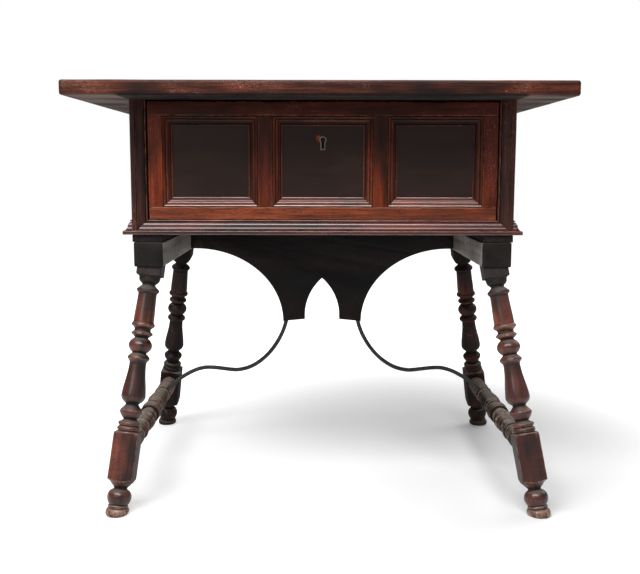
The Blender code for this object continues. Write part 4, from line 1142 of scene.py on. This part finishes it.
def turned(parts, radius, stick):
    """Joins turned parts end to end and draws a fair curve through them, in metres.

    Lengths are in parts of the story stick, and radii in 47ths of the square that the piece is cut from.
    """
    rows = [(0, radius)]
    for part in parts:
        base = rows[-1][0]
        rows += [(base + length, r) for length, r in part]
    x = [length * stick for length, r in rows]
    y = [r * LEG_SIZE / 47 for length, r in rows]
    slopes = [(b - a) / (d - c) for a, b, c, d in zip(y, y[1:], x, x[1:])]
    lean = [slopes[0]]
    for a, b in zip(slopes, slopes[1:]):
        lean.append(2 * a * b / (a + b) if a * b > 0 else 0.0)
    lean.append(slopes[-1])
    fair = [(x[0], y[0])]
    for i in range(len(x) - 1):
        span = x[i + 1] - x[i]
        count = min(16, max(1, math.ceil(span / FAIR_STEP)))
        for k in range(1, count + 1):
            t = k / count
            start, end = (1 + 2 * t) * (1 - t) ** 2, t * t * (3 - 2 * t)
            leave, arrive = t * (1 - t) ** 2 * span, t * t * (t - 1) * span
            r = start * y[i] + end * y[i + 1] + leave * lean[i] + arrive * lean[i + 1]
            fair.append((x[i] + span * t, r))
    return fair


def leg_rows():
    """Radius of the leg against length up its axis, from the floor to under the bearer."""
    square = 34
    parts = {
        "foot": bulge(12.9, 18.0, 17.4, 22.2, 8),
        "foot collar": [(1.2, 17.3), (1.6, 18.9), (4.2, 18.9), (5.6, 17.2)],
        "foot ball": bulge(29.5, 17.2, 12.4, 22.6, 9, 0.7),
        "block shoulder": [(2, 12.4), (8, 17.4), (14, 22.4), (21, square)],
        "block": [(85, square), (86.5, 22.6), (87.5, 19.2)],
        "lower bead": bulge(8.5, 20.8, 20, 22, 4),
        "quirk": [(1.2, 18.0)],
        "upper bead": bulge(9.5, 20.2, 15.6, 21.4, 4),
        "neck": [(3, 12.6)],
        "ring": [(3.5, 15.8), (8, 19), (13, 21.2), (16.5, 21.5)],
        "ring top": [(2.5, 19.6), (6.5, 16), (12.2, 12.4)],
        "vase foot": [(2.6, 14.8), (5.7, 18.6), (9.5, 21.4), (15, 23)],
        "vase": swell(63.5, 23, 15.9, 0.9),
        "vase collar": [(4, 17.6), (8.5, 21.2), (10.5, 21), (16.5, 16.2), (19.3, 13.4)],
        "ball": bulge(29, 13.4, 12.8, 22.4, 9, 0.85),
        "ball collar": [(4, 16.6), (7, 20.2), (9, 20.4), (14, 15.4)],
        "drum foot": [(3, 15.4), (7.5, 19.6), (10, 22.2), (12, 22.2), (16.8, 19.4)],
        "drum": swell(54.5, 19.4, 17.6),
        "drum collar": [(2.8, 19.2), (5.2, 21.5), (7.6, 21.5), (12, 17.4), (17.6, 12.6)],
        "cup": [(2, 13.6), (5, 17.4), (9, 19.6), (14, 20.4)],
        "head": [(2.5, 21.6), (4.2, square)],
    }
    return turned(parts.values(), 18.0, STORY_STICK)


def square_reach(angle):
    """Distance from the middle of the leg's square stock to its skin, its corners rubbed round."""
    half = LEG_SIZE / 2
    off = abs((angle + math.pi / 4) % (math.pi / 2) - math.pi / 4)
    flat = half - LEG_CORNER
    if half * math.tan(off) <= flat:
        return half / math.cos(off)
    across = flat * (math.cos(off) + math.sin(off))
    return across + math.sqrt(across**2 - 2 * flat**2 + LEG_CORNER**2)


def middle_of(node, inside):
    """Middle of the CAD node's vertices that the test picks."""
    picked = [v.co for v in frame["nodes"][node].data.vertices if inside(v.co)]
    low = Vector([min(p[k] for p in picked) for k in range(3)])
    high = Vector([max(p[k] for p in picked) for k in range(3)])
    return (low + high) / 2


def leg_marks(inward):
    """The floor has worn the foot pale, dirt has blackened the necks, and painted shade blackens the head
    under the bearer and the block's face turned inwards.
    """

    def marks(p):
        foot = held((FOOT_WEAR_Z - p.z) / FOOT_WEAR_FADE)
        # Painted shade: the head is blackened under the bearer, where its shadow falls
        head = held((p.z - HEAD_SHADE_Z) / HEAD_SHADE_FADE)
        neck = held((NECK_RADIUS - math.hypot(p.x, p.y)) / NECK_FADE)
        # Painted shade: the block's face turned inwards is blackened
        inner = 0.8 if inward * p.x > BLOCK_FACE else 0.0
        return 0.8 * foot, 0.95 * max(head, neck, inner) * (1 - foot)

    return marks


def leg_tone(rubbed):
    """The legs are rubbed thin in blotches, most on the drum, and the vase's neck is left dark."""

    def tone(p):
        drum = near(p.z, DRUM_Z, DRUM_REACH)
        vase = near(p.z, VASE_Z, VASE_REACH)
        return rubbed + 0.3 * noise.noise(p * LEG_WAVES) + 0.35 * drum - 0.25 * vase

    return tone


def leg_stance(node):
    """Where a leg stands: the middle of its foot, with Z up the leg and Y to the back."""
    foot = middle_of(node, lambda p: p.z < HAIR)
    head = middle_of(node, lambda p: abs(p.z - LEG_TOP) < HAIR)
    up = (head - foot).normalized()
    out = Vector((0, 1, 0))
    out = (out - out.dot(up) * up).normalized()
    return Matrix.Translation(foot) @ Matrix((out.cross(up), out, up)).transposed().to_4x4()


def make_legs():
    """Four turned legs on square blocks, cut level at the floor and under the bearers."""
    rows = leg_rows()

    # Angles round the leg, with more of them close to the corners of the square
    corners = [math.pi / 4 + k * math.pi / 2 for k in range(4)]
    close = [c + math.radians(d) for c in corners for d in (-2.4, -1.1, 1.1, 2.4)]
    angles = sorted(round_angles(64) + close)

    def section(radius, length):
        reach = [min(radius, square_reach(a)) for a in angles]
        return [(r * math.cos(a), r * math.sin(a), length) for r, a in zip(reach, angles)]

    for node, rubbed in LEG_RUBBED.items():
        end, side = node.split("_")[1:]
        stance = leg_stance(node)
        rise = stance[2][2]

        def level(p, z):
            return (p[0], p[1], (z - (stance @ Vector((p[0], p[1], 0))).z) / rise)

        rings = []
        for length, r in rows:
            square = section(r, length)
            trim = max(0.0, 1 - length / FOOT_TRIM)
            flat = [level(p, length) for p in square]
            rings.append([Vector(p).lerp(Vector(q), trim) for p, q in zip(square, flat)])
        rings += [[level(p, LEG_TOP) for p in section(rows[-1][1], 0)]]
        age = {"tone": leg_tone(rubbed), "sway": 0.2 * MM, "nick": 0.7 * MM}
        age["marks"] = leg_marks(-SIDES[side])
        put(f"turned_{node}", loft(rings), f"{end}_leg", [node], "z", matrix=stance, **age)


def stretcher_ends(side):
    """Middles of the stretcher's tenon ends, front and rear."""
    node = f"stretcher_{side}"
    low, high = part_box(node)
    return middle_of(node, lambda p: p.y < low.y + MM), middle_of(node, lambda p: p.y > high.y - MM)


def stretcher_marks(p):
    """Shoes have worn the stretchers in bands, with dirt left between them."""
    band = 2.6 * noise.noise(Vector((0.0, 0.0, p.z / SCUFF_WIDTH)))
    return max(0.0, band), max(0.0, -band)


def make_stretchers():
    """Two turned stretchers, each the same from its middle to both ends, rippled by the tool."""
    parts = {
        "middle ring": [(8, 21), (14, 19.4), (17, 17)],
        "inner quirk": [(3, 16.5)],
        "inner bead": bulge(9, 17.6, 17, 20.8, 4),
        "vase neck": [(3, 16)],
        "vase foot": swell(38, 16.6, 20.8),
        "vase": swell(76, 20.8, 16),
        "outer bead": bulge(10, 17, 17, 19.8, 4),
        "outer quirk": [(3, 15.6)],
        "end foot": swell(34, 16.2, 18.8),
        "end": [(61, 17.7)],
    }
    half_length = sum(part[-1][0] for part in parts.values())
    angles = round_angles(48)
    for side in SIDES:
        front, rear = stretcher_ends(side)
        along = (rear - front).normalized()
        across = along.cross(Vector((0, 0, 1))).normalized()
        axes = Matrix((across, along.cross(across), along)).transposed().to_4x4()
        reach = (rear - front).length / 2 - STRETCHER_TENON
        rows = turned(parts.values(), 21.8, reach / half_length)
        rows += [(rows[-1][0] + STRETCHER_SINK, rows[-1][1])]
        rows = [(-length, r) for length, r in rows[:0:-1]] + rows
        rings = []
        for length, r in rows:
            r += sum(height * math.sin(length / pace) for height, pace in STRETCHER_RIPPLES)
            rings.append([(r * math.cos(a), r * math.sin(a), length) for a in angles])
        stance = Matrix.Translation((front + rear) / 2) @ axes
        name = f"turned_stretcher_{side}"
        age = {"tone": STRETCHER_RUBBED[side], "sway": 0.3 * MM, "nick": 0.5 * MM, "marks": stretcher_marks}
        put(name, loft(rings), "stretcher", [f"stretcher_{side}"], "z", matrix=stance, **age)


def make_stays():
    """S-shaped bars from the board's tips to the stretchers, drawn out under the hammer."""
    for side, sx in SIDES.items():
        front, rear = stretcher_ends(side)
        axis = front.lerp(rear, (BOARD_Y - front.y) / (rear.y - front.y))
        end = (sx * (axis.x - CENTRE) - STAY_END_INSET, axis.z + STAY_END_INSET)

        def seat(height):
            return Vector((STAY_X - STAY_LEAN * height, TIP_Z + height))

        def share(across, down):
            return Vector((STAY_X + across * (end[0] - STAY_X), TIP_Z + down * (end[1] - TIP_Z)))

        knots = [
            (seat(STAY_SEAT), seat(STAY_SEAT / 2), seat(STAY_SEAT / 2), seat(-STAY_SEAT / 12)),
            (seat(-STAY_SEAT / 12), seat(-STAY_SEAT * 2), share(0.195, 0.69), share(0.42, 0.70)),
            (share(0.42, 0.70), share(0.507, 0.69), share(0.577, 0.662), share(0.65, 0.665)),
            (share(0.65, 0.665), share(0.767, 0.665), share(0.924, 0.858), share(1, 1)),
        ]
        steps = 24
        line = []
        for a, b, c, d in knots:
            for t in (i / steps for i in range(steps)):
                line.append(a * (1 - t) ** 3 + b * 3 * t * (1 - t) ** 2 + c * 3 * t * t * (1 - t) + d * t**3)
        line.append(knots[-1][-1])
        rings = []
        for i, p in enumerate(line):
            ahead = (line[min(i + 1, len(line) - 1)] - line[max(i - 1, 0)]).normalized()
            face = Vector((-ahead.y, ahead.x))
            hoop = []
            for a in round_angles(20):
                blows = noise.noise(Vector((3 * math.cos(a), 3 * math.sin(a), i / 3 + sx * 40)))
                radius = STAY_RADIUS * (1 + STAY_HAMMERED * blows)
                spot = p + face * radius * math.cos(a)
                hoop.append((CENTRE + sx * spot.x, BOARD_Y + radius * math.sin(a), spot.y))
            rings.append(hoop)
        put(f"forged_stay_{side}", loft(rings), "iron", [f"iron_stay_{side}"], "x")


def make_cross_board():
    """Shaped board between the bearers: two swept arches beside a pointed one."""
    spring = BEARER_BOTTOM + ARCH_LIFT
    reach = BEARER_IN - ARCH_SHOULDER
    half = [(BEARER_IN - GAP, CROSS_BOARD[1].z), (BEARER_IN - GAP, spring)]
    steps = 40
    for i in range(steps + 1):
        t = math.pi / 2 * (1 - i / steps)
        half.append((reach - (reach - TIP_OUTER_X) * math.cos(t), TIP_Z + (spring - TIP_Z) * math.sin(t)))
    half.append((TIP_INNER_X, TIP_Z + TIP_STEP))
    lancet = TIP_Z + TIP_STEP + LANCET_LIFT
    radius = (TIP_INNER_X**2 + LANCET_RISE**2) / (2 * TIP_INNER_X)
    sweep = math.asin(LANCET_RISE / radius)
    steps = 20
    for i in range(steps):
        t = sweep * i / steps
        half.append((TIP_INNER_X - radius + radius * math.cos(t), lancet + radius * math.sin(t)))
    half.append((0.0, lancet + LANCET_RISE))

    # From the left end back to the right, so that the outline runs anticlockwise
    outline = [Vector((CENTRE + x, z)) for x, z in half]
    outline += [Vector((CENTRE - x, z)) for x, z in reversed(half[:-1])]
    outline = dense(outline, PLANK_STEP)[::-1]
    plank = milled(outline, "y", CROSS_BOARD[0].y, CROSS_BOARD[1].y, BOARD_ARRIS, PLANK_STEP)
    put("arched_board", plank, "stand", ["cross_board"], "x", tone=0.3, sway=0.2 * MM, nick=0.6 * MM)


def bearer_tone(p):
    """The bearers took no stain on the faces that are turned to each other."""
    return 0.8 if abs(p.x - CENTRE) < BEARER_IN + 0.8 * MM else -0.3


def make_stand():
    """Bearers with their caps, legs, stretchers, stays and the cross board."""
    beam_age = {"tone": bearer_tone, "sway": 0.4 * MM, "nick": 1.2 * MM}
    cap_age = {"tone": 0.3, "sway": 0.2 * MM, "nick": 0.8 * MM}
    for side in SIDES:
        beam = board(*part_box(f"bearer_{side}"), "y", BEARER_ARRIS, step=8 * MM)
        put(f"bearer_beam_{side}", beam, "bearer", [f"bearer_{side}"], "y", **beam_age)
        rebate = [c + s * CUTTER_ROOM for c, s in zip(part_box("case_bottom_board"), (-1, 1))]
        cap = board(*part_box(f"bearer_cap_{side}"), "y", BOARD_ARRIS, step=8 * MM)
        cap = cut(cap, board(*rebate, "x", HAIR, CUTTER_STEP))
        put(f"bearer_strip_{side}", cap, "stand", [f"bearer_cap_{side}"], "y", **cap_age)
    make_legs()
    make_stretchers()
    make_stays()
    make_cross_board()


# Studio
def seen_rays(tree, rays, mirrored):
    """Rays that find the studio white: from the camera, through glass, and in part from a shine."""
    seen = add(tree, "Math", {"operation": "MAXIMUM"}, {0: rays["Is Camera Ray"], 1: mirrored})
    return add(tree, "Math", {"operation": "MAXIMUM"}, {0: seen, 1: rays["Is Transmission Ray"]})


def white_paper():
    """Matt paper, white to the eye far from the table, with the table's own shadow near it and a painted
    shadow round its middle that deepens to the right.
    """
    material, tree, shader = new_finish("white_paper_floor")
    shader.inputs["Base Color"].default_value = linear("#f4f4f4")
    shader.inputs["Roughness"].default_value = 0.9
    rays = add(tree, "LightPath").node.outputs
    mirrored = add(tree, "Math", {"operation": "MULTIPLY", 1: 0.05}, {0: rays["Is Glossy Ray"]})
    seen = seen_rays(tree, rays, mirrored)

    # Metres to the right and away from the floor's middle, and how white the paper is there by itself: least
    # near the middle and to the right, a painted shadow that shapes the table's own
    place = add(tree, "TexCoord").node.outputs["Object"]
    right = add(tree, "SeparateXYZ", {}, {"Vector": place}).node.outputs["X"]
    ends = {"From Min": -0.6, "From Max": 0.4, "To Min": 0.36, "To Max": 0.08}
    near_lift_painted_shadow = add(tree, "MapRange", {"interpolation_type": "SMOOTHSTEP", **ends}, {"Value": right})
    far = add(tree, "VectorMath", {"operation": "LENGTH"}, {0: place}).node.outputs["Value"]
    ends = {"interpolation_type": "SMOOTHSTEP", "From Min": 0.4, "From Max": 1.3}
    far = add(tree, "MapRange", ends, {"Value": far, "To Min": near_lift_painted_shadow})
    lift = add(tree, "Math", {"operation": "MULTIPLY"}, {0: far, 1: seen})
    shader.inputs["Emission Color"].default_value = linear("#ffffff")
    tree.links.new(lift, shader.inputs["Emission Strength"])
    return material


def make_floor():
    """A round of white paper under the table."""
    bm = bmesh.new()
    bmesh.ops.create_circle(bm, cap_ends=True, segments=96, radius=14)
    ground = solid_object("floor", bm)
    ground.data.materials.append(white_paper())
    # The floor's middle is where its painted shadow is deepest
    ground.location = (0.2, 0.02, -0.2 * MM)


def make_backdrop():
    """A white room, which lights the table little and is dimmer behind it in what shines."""
    world = bpy.data.worlds.new("white_studio")
    world.use_nodes = True
    bpy.context.scene.world = world
    tree = world.node_tree
    rays = add(tree, "LightPath").node.outputs
    toward = add(tree, "TexCoord").node.outputs["Generated"]
    toward = add(tree, "SeparateXYZ", {}, {"Vector": toward}).node.outputs["Y"]
    ends = {"From Min": -0.35, "From Max": 0.35, "To Min": 0.45, "To Max": 0.12}
    backdrop = add(tree, "MapRange", ends, {"Value": toward})
    mirrored = add(tree, "Math", {"operation": "MULTIPLY"}, {0: rays["Is Glossy Ray"], 1: backdrop})
    seen = seen_rays(tree, rays, mirrored)
    level = add(tree, "MapRange", {"To Min": 0.07, "To Max": 1.0}, {"Value": seen})
    tree.links.new(level, tree.nodes["Background"].inputs["Strength"])
    tree.nodes["Background"].inputs["Color"].default_value = linear("#ffffff")


def make_lamps():
    """A wide soft lamp high in front, and weaker ones lower at the left, over the back and far right."""
    lamps = {
        "key": ((-0.5, -1.7, 2.6), 3.4, 1.1, 98),
        "fill": ((-1.3, -2.2, 1.35), 1.1, 0.8, 7),
        "overhead": ((0.2, 0.7, 2.9), 2.2, 2.2, 34),
        "side": ((2.2, 1.1, 1.5), 1.4, 1.4, 8),
    }
    aim = Vector((0, 0, 0.5))
    for name, (spot, width, depth, watts) in lamps.items():
        lamp = bpy.data.lights.new(name, "AREA")
        lamp.shape = "ELLIPSE"
        lamp.size = width
        lamp.size_y = depth
        lamp.energy = watts
        obj = new_object(name, lamp)
        obj.location = spot
        obj.rotation_euler = (aim - Vector(spot)).to_track_quat("-Z", "Y").to_euler()


def make_camera():
    """The camera, level with the drawer in front of the table and tilted down a little."""
    tilt, roll, turn = -7.545, -0.11, -0.02
    camera = bpy.data.cameras.new("camera")
    camera.sensor_fit = "HORIZONTAL"
    camera.sensor_width = 36
    camera.lens = 50.34
    obj = new_object("camera", camera)
    obj.location = (0.0, -1.918, 0.646)
    obj.rotation_euler = [math.radians(angle) for angle in (90 + tilt, roll, turn)]
    bpy.context.scene.camera = obj


def make_studio():
    """Floor, backdrop, lamps and camera."""
    bpy.context.scene.view_settings.view_transform = "Standard"
    make_floor()
    make_backdrop()
    make_lamps()
    make_camera()


make_studio()
make_top()
make_case()
make_architraves()
make_base_moulding()
make_drawer()
make_stand()
